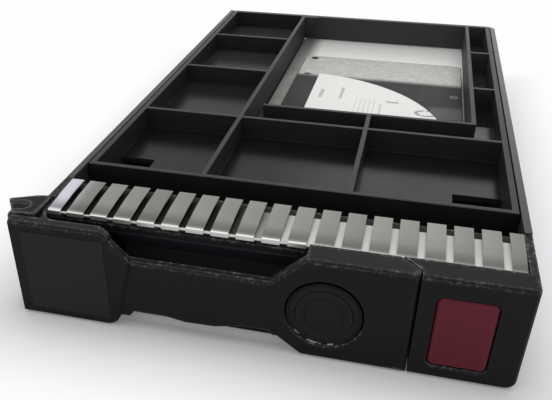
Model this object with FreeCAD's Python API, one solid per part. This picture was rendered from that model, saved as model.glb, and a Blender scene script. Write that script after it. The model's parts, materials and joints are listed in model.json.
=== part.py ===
import FreeCAD, Part
import os
from math import cos, sin, radians, sqrt

# Hot-swap carrier for a 3.5 inch bay, holding a 2.5 inch hard disk drive in a ribbed converter frame.
# Millimetres. +X to the right seen from the front, +Y to the rear, +Z up.
# Every piece is laid out from the middle of the tray, the front face of the bezel and the
# underside of the rails, then moved so that the origin is the bottom centre of the whole part.
# Sizes ending in BACK run forward from the rear end of the tray, those ending in IN run inward
# from the side of the drive, and those ending in SIDE run to the right of the drive's middle.

# ---- tray and clearances ----
TRAY_W = 105.6
TRAY_H = 25.4
TRAY_END_Y = 175.2
RAIL_T = 1.6
GAP = 0.3
FIT = 0.05
SEAT = 0.2

# ---- converter frame, the size of a 3.5 inch drive ----
CONV_W = 101.6
CONV_L = 147.0
CONV_BASE_Z = 0.3
CONV_WALL_T = 1.4
CONV_FRONT_T = 1.4
CONV_REAR_T = 2.0
RIB_T = 1.2
CELL_FLOOR_Z = 19.5
CELL_FLOOR_T = 1.5
SIDE_FLOOR_TOP_Z = 17.9
ROW_1_BACK = 109.2
ROW_2_BACK = 70.2
ROW_3_BACK = 34.2
DRIVE_LEFT_GAP = 0.375
COLUMN_2_X = 13.9
COLUMN_3_X = 42.6
WINDOW_FRONT_BACK = 98.8
WINDOW_LEFT_IN = 3.525
WINDOW_TAB_L = 11.6
SIDE_STEP_BACK = 86.4
WEB_W = 5.2
WEB_T = 1.2
FRONT_SLOT_L = 15.4
FRONT_SLOT_LEFT_W = 9.6
FRONT_SLOT_RIGHT_W = 11.8
REAR_CORNER_R = 1.3
TAB_W = 11.0
TAB_L = 12.0
BOSS_R = 3.2
SCREW_HOLE_SIDE_Z = 6.75
SIDE_HOLE_REAR = 28.5
SIDE_HOLE_FRONT = 130.1

# ---- 2.5 inch drive envelope ----
DRIVE_W = 69.85
DRIVE_L = 100.45
DRIVE_H = 14.8
DRIVE_BASE_Z = 1.5
DRIVE_SIDE_MARGIN = 1.375
DRIVE_HOLE_REAR = 14.0
DRIVE_HOLE_FRONT = 90.6
DRIVE_HOLE_INSET = 4.065
DRIVE_SIDE_HOLE_Z = 3.0
DRIVE_HOLE_DEPTH = 3.2
DRIVE_CORNER_R = 1.5
BASE_FLOOR_Z = 5.8
BOARD_POCKET_Z = 4.6

# ---- drive cover and gasket ----
COVER_LEFT_IN = 4.225
COVER_RIGHT_IN = 7.825
COVER_FRONT_BACK = 99.0
COVER_REAR_BACK = 23.3
COVER_T = 0.8
COVER_R = 2.5
GASKET_T = 0.3
GASKET_INSET = 0.5
GASKET_MARGIN = 0.5
COVER_SCREW_R = 0.7
COVER_HEAD_R = 1.35
COVER_HEAD_T = 0.45
COVER_SCREW_L = 3.2
COVER_SCREW_LEFT_IN = 7.825
COVER_SCREW_RIGHT_IN = 10.525
COVER_SCREW_FRONT_BACK = 96.0
COVER_SCREW_MID_BACK = 44.0
COVER_SCREW_REAR_BACK = 25.8
COVER_SCREW_SIDE_BACK = 55.4

# ---- disc pack ----
SPIN_SIDE = -1.8
SPIN_BACK = 70.2
DISC_R = 26.0
DISC_BORE_R = 10.0
DISC_T = 0.8
DISC_CAVITY_R = 27.6
LOWER_DISC_Z = 8.6
DISC_SPACING = 3.2
HUB_RIM_R = 11.4
HUB_RIM_T = 1.0
HUB_CUP_R = 8.4
HUB_WEB_T = 1.4
HUB_SLEEVE_R = 3.0
HUB_SLEEVE_Z = 6.3
SHAFT_R = 1.5
CLAMP_T = 0.8
CLAMP_BORE_R = 2.6
CLAMP_SCREW_PCR = 6.0
CLAMP_SCREW_COUNT = 6
CLAMP_SCREW_R = 0.6
CLAMP_HEAD_R = 1.1
CLAMP_HEAD_T = 0.6
MAGNET_RING_T = 0.8
MAGNET_RING_H = 3.0
STATOR_R = 7.2
STATOR_BORE_R = 3.3
STATOR_YOKE_R = 4.3
STATOR_Z = 7.2
STATOR_T = 1.4
STATOR_TEETH = 9
TOOTH_W = 1.1
TOOTH_TIP_T = 0.6
COIL_T = 0.55

# ---- head actuator ----
PIVOT_SIDE = 11.0
PIVOT_BACK = 37.2
PARK_DEG = 190.0
PIVOT_POST_R = 1.5
PIVOT_POST_TOP = 15.0
PIVOT_SLEEVE_R = 3.3
BLOCK_R = 5.2
BLOCK_Z0 = 6.9
BLOCK_Z1 = 14.2
ARM_L = 18.0
ARM_ROOT_W = 7.6
ARM_TIP_W = 4.4
ARM_T = 0.7
SPRING_ARM_L = 27.6
SPRING_ARM_ROOT = 15.6
SPRING_ARM_TIP_W = 1.1
SPRING_ARM_ROOT_W = 3.4
SPRING_ARM_T = 0.15
SLIDER_L = 1.2
SLIDER_W = 1.0
SLIDER_T = 0.25
SLIDER_AT = 26.2
COIL_ARM_Z0 = 9.6
COIL_ARM_Z1 = 11.4
VOICE_COIL_R0 = 6.6
VOICE_COIL_R1 = 11.8
VOICE_COIL_HALF_DEG = 24.0
VOICE_COIL_W = 1.6
COIL_FRAME_DEG = 4.0
COIL_FRAME_T = 0.5

# ---- voice coil magnets and yokes ----
YOKE_R0 = 6.6
YOKE_R1 = 12.4
YOKE_DEG0 = -31.0
YOKE_DEG1 = 91.0
YOKE_T = 0.9
MAGNET_R0 = 6.9
MAGNET_DEG0 = -17.0
MAGNET_DEG1 = 78.0
MAGNET_T = 1.7
YOKE_TOP_Z = 14.6
YOKE_POST_R = 0.9
YOKE_POST_AT = 11.3
YOKE_POST_INSET = 5.0

# ---- load ramp and head flex ----
RAMP_R0 = 29.4
RAMP_R1 = 32.4
RAMP_HALF_DEG = 4.5
RAMP_FINGER_R0 = 26.6
RAMP_TOP_Z = 14.0
FLEX_T = 0.2
HEAD_FLEX_Z0 = 8.4
HEAD_FLEX_Z1 = 12.8
HEAD_FLEX_DEG0 = 96.0
HEAD_FLEX_DEG1 = 148.0
HEAD_FLEX_R = 6.0
FLEX_FOOT_L = 7.0
FLEX_FOOT_W = 6.0
FLEX_FOOT_T = 1.2

# ---- actuator bay of the base casting ----
BAY_LEFT_SIDE = -23.7
BAY_RIGHT_SIDE = 25.9
BAY_FRONT_BACK = 51.2
BAY_REAR_BACK = 24.4
BAY_R = 2.0

# ---- drive circuit board ----
BOARD_Z = 2.2
BOARD_T = 1.0
BOARD_LEFT_IN = 9.425
BOARD_RIGHT_IN = 8.925
BOARD_FRONT_BACK = 95.2
BOARD_REAR_BACK = 8.2
BOARD_MARGIN = 0.6
BOARD_SCREW_INSET = 3.2
BOARD_SCREW_R = 0.7
BOARD_HEAD_R = 1.4
BOARD_HEAD_T = 0.45
BOARD_SCREW_L = 3.4
CHIP_T = 1.1
CPU_W = 13.0
CPU_SIDE = -12.5
CPU_BACK = 27.2
MEMORY_W = 8.0
MEMORY_L = 10.5
MEMORY_SIDE = 5.5
MEMORY_BACK = 27.2
DRIVER_W = 7.0
DRIVER_SIDE = 16.5
DRIVER_BACK = 39.2
PLUG_SIDE = 4.8
PLUG_W = 42.0
PLUG_L = 8.6
PLUG_H = 5.6
PLUG_WALL = 0.9
PLUG_TONGUE_T = 1.3
PLUG_KEY_X = 6.0
PLUG_KEY_W = 1.6
PLUG_PIN_W = 0.7
PLUG_PIN_T = 0.15
PLUG_PIN_PITCH = 1.27
PLUG_PIN_COUNT = 29

# ---- labels ----
LABEL_T = 0.1
LABEL_LEFT_IN = 12.125
LABEL_FRONT_BACK = 96.2
LABEL_ARC_SIDE = -28.1
LABEL_ARC_BACK = 92.6
LABEL_ARC_R = 50.0
STRIP_W = 3.6
STRIP_FRONT_BACK = 85.2
STRIP_REAR_BACK = 43.2

# ---- bezel body ----
BEZEL_L = 20.5
BEZEL_TOP_DROP = 0.4
BEZEL_T = 1.6
BEZEL_PLATE_DEPTH = 3.0
BEZEL_TOP_T = 1.5
BEZEL_CORNER_R = 2.2
SEAM_X = 31.2
LIP_Y = 6.6
LIP_DEPTH = 4.8
LIP_T = 1.2
CLIP_GROOVE_H = 0.7
CLIP_GROOVE_D = 0.7
SCOOP_MID_Y = 12.6
SCOOP_MID_Z = 14.0
SCOOP_FOOT_Y = 13.4
SCOOP_T = 1.4
SCOOP_X0 = -36.0
SCOOP_X1 = 8.0
FOOT_FRONT_Y = 8.6
GRIP_STEP_Y = 5.3
EAR_TIP_X = -60.7
EAR_TIP_Y = 7.3
EAR_TIP_R = 0.8
EAR_FRONT_Y = 2.25
EAR_SIDE_GAP = 0.7
EAR_REAR_Y = 11.0
EAR_SLOPE_Y = 10.4
EAR_T = 2.0
EAR_TOP_DROP = 0.1
EAR_RECESS_T = 0.6
EAR_RECESS_R = 1.9
EAR_RECESS_SLANT = 1.2
PIN_X = -56.7
PIN_Y = 5.7
PIN_R = 1.5
PIN_TOP_DEPTH = 1.3
ARM_REACH = 6.6
ARM_TAB_T = 1.6
ARM_TAB_Z0 = 4.0
ARM_TAB_Z1 = 12.8

# ---- spring finger strip ----
FINGER_PITCH = 5.56
FINGER_W = 3.96
FINGER_COUNT = 19
FINGER_X0 = -51.0
FINGER_LEAD = 0.93
FINGER_REAR_Y = 20.1
FINGER_BASE_REAR_Y = 17.6
FINGER_T = 0.2
FINGER_ARCH_RISE = 0.9
FINGER_FOLD_DROP = 0.6

# ---- swing lever ----
LEVER_X0 = -57.0
LEVER_X1 = 30.9
LEVER_TOP_DROP = 0.5
LEVER_T = 2.0
LABEL_PAD_PROUD = 0.8
PAD_X1 = -33.6
PAD_CORNER_R = 2.4
PAD_FOOT_R = 3.6
EDGE_CHAMFER = 0.5
END_CORNER = 1.1
END_CUT = 4.0
PAD_FLANGE_Y = 1.9
RIM_X = -46.9
RIM_Y = 5.0
RIM_R = 4.0
RIM_T = 0.7
RIM_H = 2.0
GRIP_X0 = -29.1
GRIP_X1 = 1.2
GRIP_TOP_Z = 18.0
SLOPE_X1 = 8.5
PAD_FOOT_X = -36.4
GRIP_FOOT_X0 = -32.6
GRIP_FOOT_X1 = 3.2
GRIP_FOOT_Z0 = 3.0
GRIP_FOOT_Z1 = 3.9
GRIP_ARCH_Z = 1.3
GRIP_ARCH_IN = 2.0
GRIP_ARCH_L = 6.5
GRIP_ARCH_END = 13.0
GRIP_RIB_D = 1.2
LEVER_BOX_DEPTH = 8.0
LEVER_WALL = 1.3
KNUCKLE_R = 3.6
KNUCKLE_WEB_X1 = -50.4
KNUCKLE_WEB_Y = 4.2
JAW_Z0 = 8.5
JAW_Z1 = 16.5
JAW_DEPTH = 1.4
SPRING_POCKET_R = 2.8
SPRING_POCKET_Z = 17.0
HOOK_X0 = 27.3
HOOK_X1 = 29.8
HOOK_T = 1.4
HOOK_Z0 = 9.2
HOOK_Z1 = 14.8
HOOK_REACH = 10.4
HOOK_LIP = 1.4
END_TRIM_X0 = 26.3
END_TRIM_T = 0.8
END_TRIM_MARGIN_Z = 0.9
PAD_LABEL_X0 = -54.4
PAD_LABEL_X1 = -34.9
PAD_LABEL_Z0 = 2.0
PAD_LABEL_TOP_MARGIN = 2.3

# ---- status lights ----
RING_X = 13.0
RING_Z = 11.9
RING_OUTER_R = 7.9
RING_INNER_R = 6.1
RING_POCKET_R = 8.3
RING_PROUD = 0.2
RING_LENS_L = 7.8
DISC_FACE_R = 5.9
DISC_FACE_PROUD = 0.3
DISC_FACE_L = 1.7
LED_COUNT = 6
LED_SIZE = 1.6
LED_T = 0.8
LED_BOARD_T = 1.0
LED_BOARD_W = 20.0
LED_BOARD_FOOT = 1.3
LED_BOARD_HEAD = 1.5
LED_BOARD_BACK = 1.7

# ---- release button, latch and springs ----
BUTTON_X0 = 34.85
BUTTON_X1 = 46.35
BUTTON_Z0 = 3.6
BUTTON_TOP_DEPTH = 5.0
BUTTON_R = 1.2
BUTTON_PROUD = 0.3
BUTTON_FLANGE = 0.8
BUTTON_FLANGE_T = 1.3
BUTTON_L = 9.0
BUTTON_WALL = 1.4
BUTTON_TRAVEL = 2.0
LATCH_Z0 = 9.8
LATCH_Z1 = 14.2
LATCH_Y0 = 11.6
LATCH_Y1 = 16.2
LATCH_END_X = 44.0
NOSE_X = 30.2
NOSE_Y0 = 6.4
NOSE_Y1 = 8.6
NOSE_ROOT_X = 33.9
RAMP_POCKET_Z0 = 10.8
RAMP_POCKET_Z1 = 13.2
WEDGE_X0 = 37.4
WEDGE_TIP_X = 38.0
WEDGE_TIP_Y = 14.6
WEDGE_ROOT_X = 43.0
LATCH_GUIDE_T = 1.2
SPRING_WIRE_R = 0.22
BUTTON_SPRING_R = 1.5
BUTTON_SPRING_Z = 6.0
BUTTON_SPRING_X = 40.6
LATCH_SPRING_R = 1.3
LATCH_SPRING_TURNS = 6.0
BUTTON_SPRING_TURNS = 8.0
LEVER_SPRING_R = 2.25
LEVER_SPRING_TURNS = 5.0

# ---- status flex ----
CARRIER_FLEX_Z0 = 13.6
CARRIER_FLEX_Z1 = 18.6
CARRIER_FLEX_T = 0.3
FLEX_GROOVE_DEPTH = 0.4
FLEX_GROOVE_MARGIN = 0.5
FLEX_END_BACK = 2.2
FLEX_WINDOW_L = 8.5
PAD_COUNT = 4
PAD_L = 5.0
PAD_H = 0.8
PAD_T = 0.15

# ---- rails and fasteners ----
RAIL_GROOVE_Z0 = 9.8
RAIL_GROOVE_Z1 = 12.4
RAIL_GROOVE_DEPTH = 0.5
RAIL_SLOT_Z0 = 4.0
RAIL_SLOT_Z1 = 8.0
RAIL_SLOT_L = 24.0
RAIL_SLOT_Y1 = 62.0
RAIL_SLOT_Y2 = 106.0
M3_R = 1.5
M3_HEAD_R = 2.6
M3_SINK_T = 1.1
M3_LENGTH = 4.6

# ---- derived values used by several pieces ----
RAIL_X = TRAY_W / 2
RAIL_IN_X = RAIL_X - RAIL_T
CONV_X = CONV_W / 2
CONV_Y0 = TRAY_END_Y - CONV_L
DRIVE_X = CONV_X - DRIVE_SIDE_MARGIN - DRIVE_W / 2
DRIVE_X0 = DRIVE_X - DRIVE_W / 2
DRIVE_X1 = DRIVE_X + DRIVE_W / 2
DRIVE_Y0 = TRAY_END_Y - DRIVE_L
COVER_Y0 = TRAY_END_Y - COVER_FRONT_BACK
COVER_Y1 = TRAY_END_Y - COVER_REAR_BACK
COVER_SCREW_FRONT_Y = TRAY_END_Y - COVER_SCREW_FRONT_BACK
COVER_SCREW_MID_Y = TRAY_END_Y - COVER_SCREW_MID_BACK
COVER_SCREW_REAR_Y = TRAY_END_Y - COVER_SCREW_REAR_BACK
COVER_SCREW_SIDE_Y = TRAY_END_Y - COVER_SCREW_SIDE_BACK
SPIN_Y = TRAY_END_Y - SPIN_BACK
PIVOT_Y = TRAY_END_Y - PIVOT_BACK
BAY_Y0 = TRAY_END_Y - BAY_FRONT_BACK
BAY_Y1 = TRAY_END_Y - BAY_REAR_BACK
BOARD_Y0 = TRAY_END_Y - BOARD_FRONT_BACK
BOARD_Y1 = TRAY_END_Y - BOARD_REAR_BACK
CPU_Y = TRAY_END_Y - CPU_BACK
MEMORY_Y = TRAY_END_Y - MEMORY_BACK
DRIVER_Y = TRAY_END_Y - DRIVER_BACK
LABEL_FRONT_Y = TRAY_END_Y - LABEL_FRONT_BACK
LABEL_ARC_Y = TRAY_END_Y - LABEL_ARC_BACK
STRIP_FRONT_Y = TRAY_END_Y - STRIP_FRONT_BACK
STRIP_REAR_Y = TRAY_END_Y - STRIP_REAR_BACK
ROW_1_Y = TRAY_END_Y - ROW_1_BACK
ROW_2_Y = TRAY_END_Y - ROW_2_BACK
ROW_3_Y = TRAY_END_Y - ROW_3_BACK
WINDOW_FRONT_Y = TRAY_END_Y - WINDOW_FRONT_BACK
SIDE_STEP_Y = TRAY_END_Y - SIDE_STEP_BACK
FLEX_END_Y = TRAY_END_Y - FLEX_END_BACK
SPIN_X = DRIVE_X + SPIN_SIDE
PIVOT_X = DRIVE_X + PIVOT_SIDE
COVER_SCREW_LEFT_X = DRIVE_X0 + COVER_SCREW_LEFT_IN
COVER_SCREW_RIGHT_X = DRIVE_X1 - COVER_SCREW_RIGHT_IN
COVER_X0 = DRIVE_X0 + COVER_LEFT_IN
COVER_X1 = DRIVE_X1 - COVER_RIGHT_IN
BAY_X0 = DRIVE_X + BAY_LEFT_SIDE
BAY_X1 = DRIVE_X + BAY_RIGHT_SIDE
BOARD_X0 = DRIVE_X0 + BOARD_LEFT_IN
BOARD_X1 = DRIVE_X1 - BOARD_RIGHT_IN
CPU_X = DRIVE_X + CPU_SIDE
MEMORY_X = DRIVE_X + MEMORY_SIDE
DRIVER_X = DRIVE_X + DRIVER_SIDE
PLUG_X = DRIVE_X + PLUG_SIDE
LABEL_LEFT_X = DRIVE_X0 + LABEL_LEFT_IN
LABEL_ARC_X = DRIVE_X + LABEL_ARC_SIDE
WINDOW_FRONT_X = DRIVE_X0 + WINDOW_LEFT_IN
COLUMN_1_X = DRIVE_X0 - DRIVE_LEFT_GAP - RIB_T / 2
DRIVE_TOP = DRIVE_BASE_Z + DRIVE_H
BAY_TOP_Z = DRIVE_TOP + GAP
BAY_LEFT_X = COLUMN_1_X + RIB_T / 2
COVER_Z = DRIVE_TOP - COVER_T
SEAT_Z = COVER_Z - GASKET_T
UPPER_DISC_Z = LOWER_DISC_Z + DISC_SPACING
CLAMP_Z = UPPER_DISC_Z + DISC_T
BOARD_TOP = BOARD_Z + BOARD_T
BEZEL_H = TRAY_H - BEZEL_TOP_DROP
BEZEL_TOP_Z = TRAY_H - BEZEL_PLATE_DEPTH
BEZEL_TOP = BEZEL_TOP_Z + BEZEL_TOP_T
LIP_Z = TRAY_H - LIP_DEPTH
BUTTON_Z1 = TRAY_H - BUTTON_TOP_DEPTH
FINGER_TOP_Z = TRAY_H
FINGER_FOLD_Z = FINGER_TOP_Z - FINGER_ARCH_RISE
EAR_TOP_Z = TRAY_H - EAR_TOP_DROP
PIN_TOP_Z = EAR_TOP_Z - PIN_TOP_DEPTH
LEVER_TOP_Z = TRAY_H - LEVER_TOP_DROP
PAD_LABEL_Z1 = LEVER_TOP_Z - PAD_LABEL_TOP_MARGIN
END_CUT_Z = LEVER_TOP_Z - 2 * LEVER_WALL
LED_BOARD_Y = BEZEL_L - BEZEL_T - LED_BOARD_T - LED_BOARD_BACK
SHIFT_X = -(EAR_TIP_X + RAIL_X) / 2
SHIFT_Y = (LABEL_PAD_PROUD + LABEL_T - TRAY_END_Y) / 2


def vec(x, y, z):
    return FreeCAD.Vector(x, y, z)


def box(x0, x1, y0, y1, z0, z1):
    return Part.makeBox(x1 - x0, y1 - y0, z1 - z0, vec(x0, y0, z0))


def rod_z(x, y, z0, z1, r):
    return Part.makeCylinder(r, z1 - z0, vec(x, y, z0), vec(0, 0, 1))


def rod_y(x, z, y0, y1, r):
    return Part.makeCylinder(r, y1 - y0, vec(x, y0, z), vec(0, 1, 0))


def rod_x(y, z, x0, x1, r):
    return Part.makeCylinder(r, x1 - x0, vec(x0, y, z), vec(1, 0, 0))


def ring_z(x, y, z0, z1, r_in, r_out):
    return rod_z(x, y, z0, z1, r_out).cut(rod_z(x, y, z0, z1, r_in))


def ring_y(x, z, y0, y1, r_in, r_out):
    return rod_y(x, z, y0, y1, r_out).cut(rod_y(x, z, y0, y1, r_in))


def prism(points, direction):
    wire = Part.makePolygon(points + [points[0]])
    return Part.Face(wire).extrude(direction)


def prism_z(points, z0, z1):
    return prism([vec(x, y, z0) for x, y in points], vec(0, 0, z1 - z0))


def prism_y(points, y0, y1):
    return prism([vec(x, y0, z) for x, z in points], vec(0, y1 - y0, 0))


def prism_x(points, x0, x1):
    return prism([vec(x0, y, z) for y, z in points], vec(x1 - x0, 0, 0))


def round_edges(shape, r, axis):
    """Round every straight edge that runs along the axis given as 0, 1 or 2."""
    picked = []
    for edge in shape.Edges:
        if len(edge.Vertexes) < 2:
            continue
        step = edge.Vertexes[1].Point - edge.Vertexes[0].Point
        if abs(abs(step[axis]) - step.Length) < 1e-6:
            picked.append(edge)
    return shape.makeFillet(r, picked)


def arc_points(x, z, r, deg0, deg1, steps):
    """Points along an arc in a plane, both ends included."""
    turns = [radians(deg0 + (deg1 - deg0) * i / steps) for i in range(steps + 1)]
    return [(x + r * cos(t), z + r * sin(t)) for t in turns]


def chamfer_front(shape, y, size, low_x):
    """Bevel the edges that lie in the front plane, but not those left of a given x."""
    picked = []
    for edge in shape.Edges:
        flat = all(abs(v.Point.y - y) < 1e-6 for v in edge.Vertexes)
        if flat and max(v.Point.x for v in edge.Vertexes) > low_x:
            picked.append(edge)
    return shape.makeChamfer(size, picked)


def polar(angle, r):
    return PIVOT_X + r * cos(radians(angle)), PIVOT_Y + r * sin(radians(angle))


def sector(x, y, r0, r1, deg0, deg1, z0, z1):
    """A piece of a flat ring between two angles."""
    outer = Part.makeCylinder(r1, z1 - z0, vec(x, y, z0), vec(0, 0, 1), deg1 - deg0)
    inner = Part.makeCylinder(r0, z1 - z0, vec(x, y, z0), vec(0, 0, 1), deg1 - deg0)
    piece = outer.cut(inner)
    piece.rotate(vec(x, y, z0), vec(0, 0, 1), deg0)
    return piece


def coil(start, direction, length, turns, r, wire_r):
    """A helical spring of round wire that starts at a point and runs along a direction."""
    helix = Part.makeLongHelix(length / turns, length, r)
    profile = Part.Wire(Part.makeCircle(wire_r, vec(r, 0, 0), vec(0, 1, 0)))
    spring = Part.Wire(helix).makePipeShell([profile], True, True)
    turn = FreeCAD.Rotation(vec(0, 0, 1), direction)
    spring.Placement = FreeCAD.Placement(start, turn)
    return spring


def join(shapes):
    whole = shapes[0]
    for shape in shapes[1:]:
        whole = whole.fuse(shape)
    return whole.removeSplitter()


def minus(shape, tools):
    for tool in tools:
        shape = shape.cut(tool)
    return shape


def save(name, shape):
    moved = shape.copy()
    moved.translate(vec(SHIFT_X, SHIFT_Y, 0))
    moved.exportStep("parts/" + name + ".step")
    print(name, len(moved.Solids), round(moved.Volume, 1), moved.isValid())


# ------------------------------------------------------------------ fasteners

def sunk_screw(x, y, z, inward, length):
    """Flat-head screw with its head face at the point given and its shank going inward."""
    head = Part.makeCone(M3_HEAD_R, M3_R, M3_SINK_T, vec(x, y, z), inward)
    shank = Part.makeCylinder(M3_R, length, vec(x, y, z), inward)
    socket = Part.makeCylinder(M3_R / 2, M3_SINK_T / 2, vec(x, y, z), inward)
    return head.fuse(shank).removeSplitter().cut(socket)


def sunk_hole(x, y, z, inward, depth):
    """The hole a flat-head screw sits in."""
    head = Part.makeCone(M3_HEAD_R + FIT, M3_R + FIT, M3_SINK_T, vec(x, y, z), inward)
    shank = Part.makeCylinder(M3_R + FIT, depth, vec(x, y, z), inward)
    return head.fuse(shank)


def cap_screw(x, y, z, down, head_r, head_t, shank_r, length):
    """Small screw whose head stands on the point and whose shank goes down from it."""
    head = Part.makeCylinder(head_r, head_t, vec(x, y, z), down * -1)
    shank = Part.makeCylinder(shank_r, length, vec(x, y, z), down)
    top = vec(x, y, z) - down * head_t
    socket = Part.makeCylinder(shank_r * 0.8, head_t / 2, top, down)
    return head.fuse(shank).removeSplitter().cut(socket)


def rail_screw_spots():
    rear_y = TRAY_END_Y - SIDE_HOLE_REAR
    front_y = TRAY_END_Y - SIDE_HOLE_FRONT
    left = vec(1, 0, 0)
    right = vec(-1, 0, 0)
    spots = [(-RAIL_X, rear_y, SCREW_HOLE_SIDE_Z, left), (-RAIL_X, front_y, SCREW_HOLE_SIDE_Z, left)]
    spots.append((RAIL_X, front_y, SCREW_HOLE_SIDE_Z, right))
    return spots


def bezel_screw_spots():
    y = BEZEL_L + ARM_REACH / 2
    z = (ARM_TAB_Z0 + ARM_TAB_Z1) / 2 - 5 * GAP
    return [(-RAIL_X, y, z, vec(1, 0, 0)), (RAIL_X, y, z, vec(-1, 0, 0))]


def drive_side_spots():
    z = DRIVE_BASE_Z + DRIVE_SIDE_HOLE_Z
    inward = vec(-1, 0, 0)
    rear = TRAY_END_Y - DRIVE_HOLE_REAR
    front = TRAY_END_Y - DRIVE_HOLE_FRONT
    return [(RAIL_X, rear, z, inward), (RAIL_X, front, z, inward)]


def drive_bottom_spots():
    x = DRIVE_X0 + DRIVE_HOLE_INSET
    rear = TRAY_END_Y - DRIVE_HOLE_REAR
    front = TRAY_END_Y - DRIVE_HOLE_FRONT
    return [(x, rear, CONV_BASE_Z, vec(0, 0, 1)), (x, front, CONV_BASE_Z, vec(0, 0, 1))]


def build_fasteners():
    rail = [sunk_screw(x, y, z, d, M3_LENGTH) for x, y, z, d in rail_screw_spots()]
    rail += [sunk_screw(x, y, z, d, RAIL_T + ARM_TAB_T) for x, y, z, d in bezel_screw_spots()]
    save("rail_screws", Part.makeCompound(rail))
    drive = [sunk_screw(x, y, z, d, M3_LENGTH + 1) for x, y, z, d in drive_side_spots()]
    drive += [sunk_screw(x, y, z, d, M3_LENGTH - 1) for x, y, z, d in drive_bottom_spots()]
    save("drive_screws", Part.makeCompound(drive))


# ------------------------------------------------------------------ rails

def rail_plate(side):
    outer = side * RAIL_X
    inner = side * RAIL_IN_X
    low = min(outer, inner)
    high = max(outer, inner)
    plate = box(low, high, BEZEL_L, TRAY_END_Y, 0, TRAY_H)
    groove_low = outer - RAIL_GROOVE_DEPTH if side > 0 else outer
    groove = box(groove_low, groove_low + RAIL_GROOVE_DEPTH, BEZEL_L, TRAY_END_Y, RAIL_GROOVE_Z0,
                 RAIL_GROOVE_Z1)
    holes = [groove]
    for slot_y in (RAIL_SLOT_Y1, RAIL_SLOT_Y2):
        slot = box(low, high, slot_y, slot_y + RAIL_SLOT_L, RAIL_SLOT_Z0, RAIL_SLOT_Z1)
        holes.append(round_edges(slot, RAIL_T / 2, 0))
    for x, y, z, inward in rail_screw_spots() + bezel_screw_spots() + drive_side_spots():
        if x * side > 0:
            holes.append(sunk_hole(x, y, z, inward, 2 * RAIL_T))
    return minus(plate, holes)


def build_left_rail():
    rail = rail_plate(-1)
    z0 = CARRIER_FLEX_Z0 - FLEX_GROOVE_MARGIN
    z1 = CARRIER_FLEX_Z1 + FLEX_GROOVE_MARGIN
    deep = -RAIL_IN_X - FLEX_GROOVE_DEPTH
    groove = box(deep, -RAIL_IN_X, BEZEL_L, FLEX_END_Y + GAP, z0, z1)
    window = box(-RAIL_X, -RAIL_IN_X, FLEX_END_Y - FLEX_WINDOW_L, FLEX_END_Y - GAP, z0, z1)
    save("left_rail", minus(rail, [groove, window]))


def build_right_rail():
    rail = rail_plate(1)
    turn_y = TRAY_END_Y - (REAR_CORNER_R + SEAT + RAIL_T + SEAT)
    corner_x = RAIL_IN_X - REAR_CORNER_R - 2 * SEAT
    outer_r = RAIL_X - corner_x
    rail = rail.cut(box(RAIL_IN_X - GAP, RAIL_X + GAP, TRAY_END_Y - outer_r, TRAY_END_Y + GAP, 0, TRAY_H))
    bend = sector(corner_x, TRAY_END_Y - outer_r, outer_r - RAIL_T, outer_r, 0, 90, 0, TRAY_H)
    groove = sector(corner_x, TRAY_END_Y - outer_r, outer_r - RAIL_GROOVE_DEPTH, outer_r + GAP, 0, 90,
                    RAIL_GROOVE_Z0, RAIL_GROOVE_Z1)
    save("right_rail", join([rail, bend.cut(groove)]))


# ------------------------------------------------------------------ converter frame

def converter_shell():
    x = CONV_X
    shell = box(-x, x, CONV_Y0, TRAY_END_Y, CONV_BASE_Z, TRAY_H)
    inner_x0 = -x + CONV_WALL_T
    inner_x1 = x - CONV_WALL_T
    inner_y0 = CONV_Y0 + CONV_FRONT_T
    inner_y1 = TRAY_END_Y - CONV_REAR_T
    under = CELL_FLOOR_Z - CELL_FLOOR_T
    top = box(inner_x0, inner_x1, inner_y0, inner_y1, CELL_FLOOR_Z, TRAY_H)
    bottom = box(inner_x0, inner_x1, inner_y0, inner_y1, CONV_BASE_Z, under)
    return minus(shell, [top, bottom])


def converter_bay_cut():
    """Space under and above the drive: the bay itself, the window and the low floor at its right."""
    bay_x1 = DRIVE_X1 + GAP
    bay = box(BAY_LEFT_X, bay_x1, DRIVE_Y0 - GAP, TRAY_END_Y + 1, CONV_BASE_Z - 1, BAY_TOP_Z)
    window_y0 = WINDOW_FRONT_Y + RIB_T / 2
    window_y1 = TRAY_END_Y - CONV_REAR_T
    window = box(BAY_LEFT_X, COLUMN_3_X - RIB_T / 2, window_y0, window_y1, CONV_BASE_Z, TRAY_H)
    low_x0 = COLUMN_3_X + RIB_T / 2
    low = box(low_x0, CONV_X - CONV_WALL_T, SIDE_STEP_Y, window_y1, CONV_BASE_Z, TRAY_H)
    return [bay, window, low]


def row_rib(x0, x1, y, z0, z1):
    return box(x0, x1, y - RIB_T / 2, y + RIB_T / 2, z0, z1)


def column_rib(x, y0, y1, z0, z1):
    return box(x - RIB_T / 2, x + RIB_T / 2, y0, y1, z0, z1)


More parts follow.
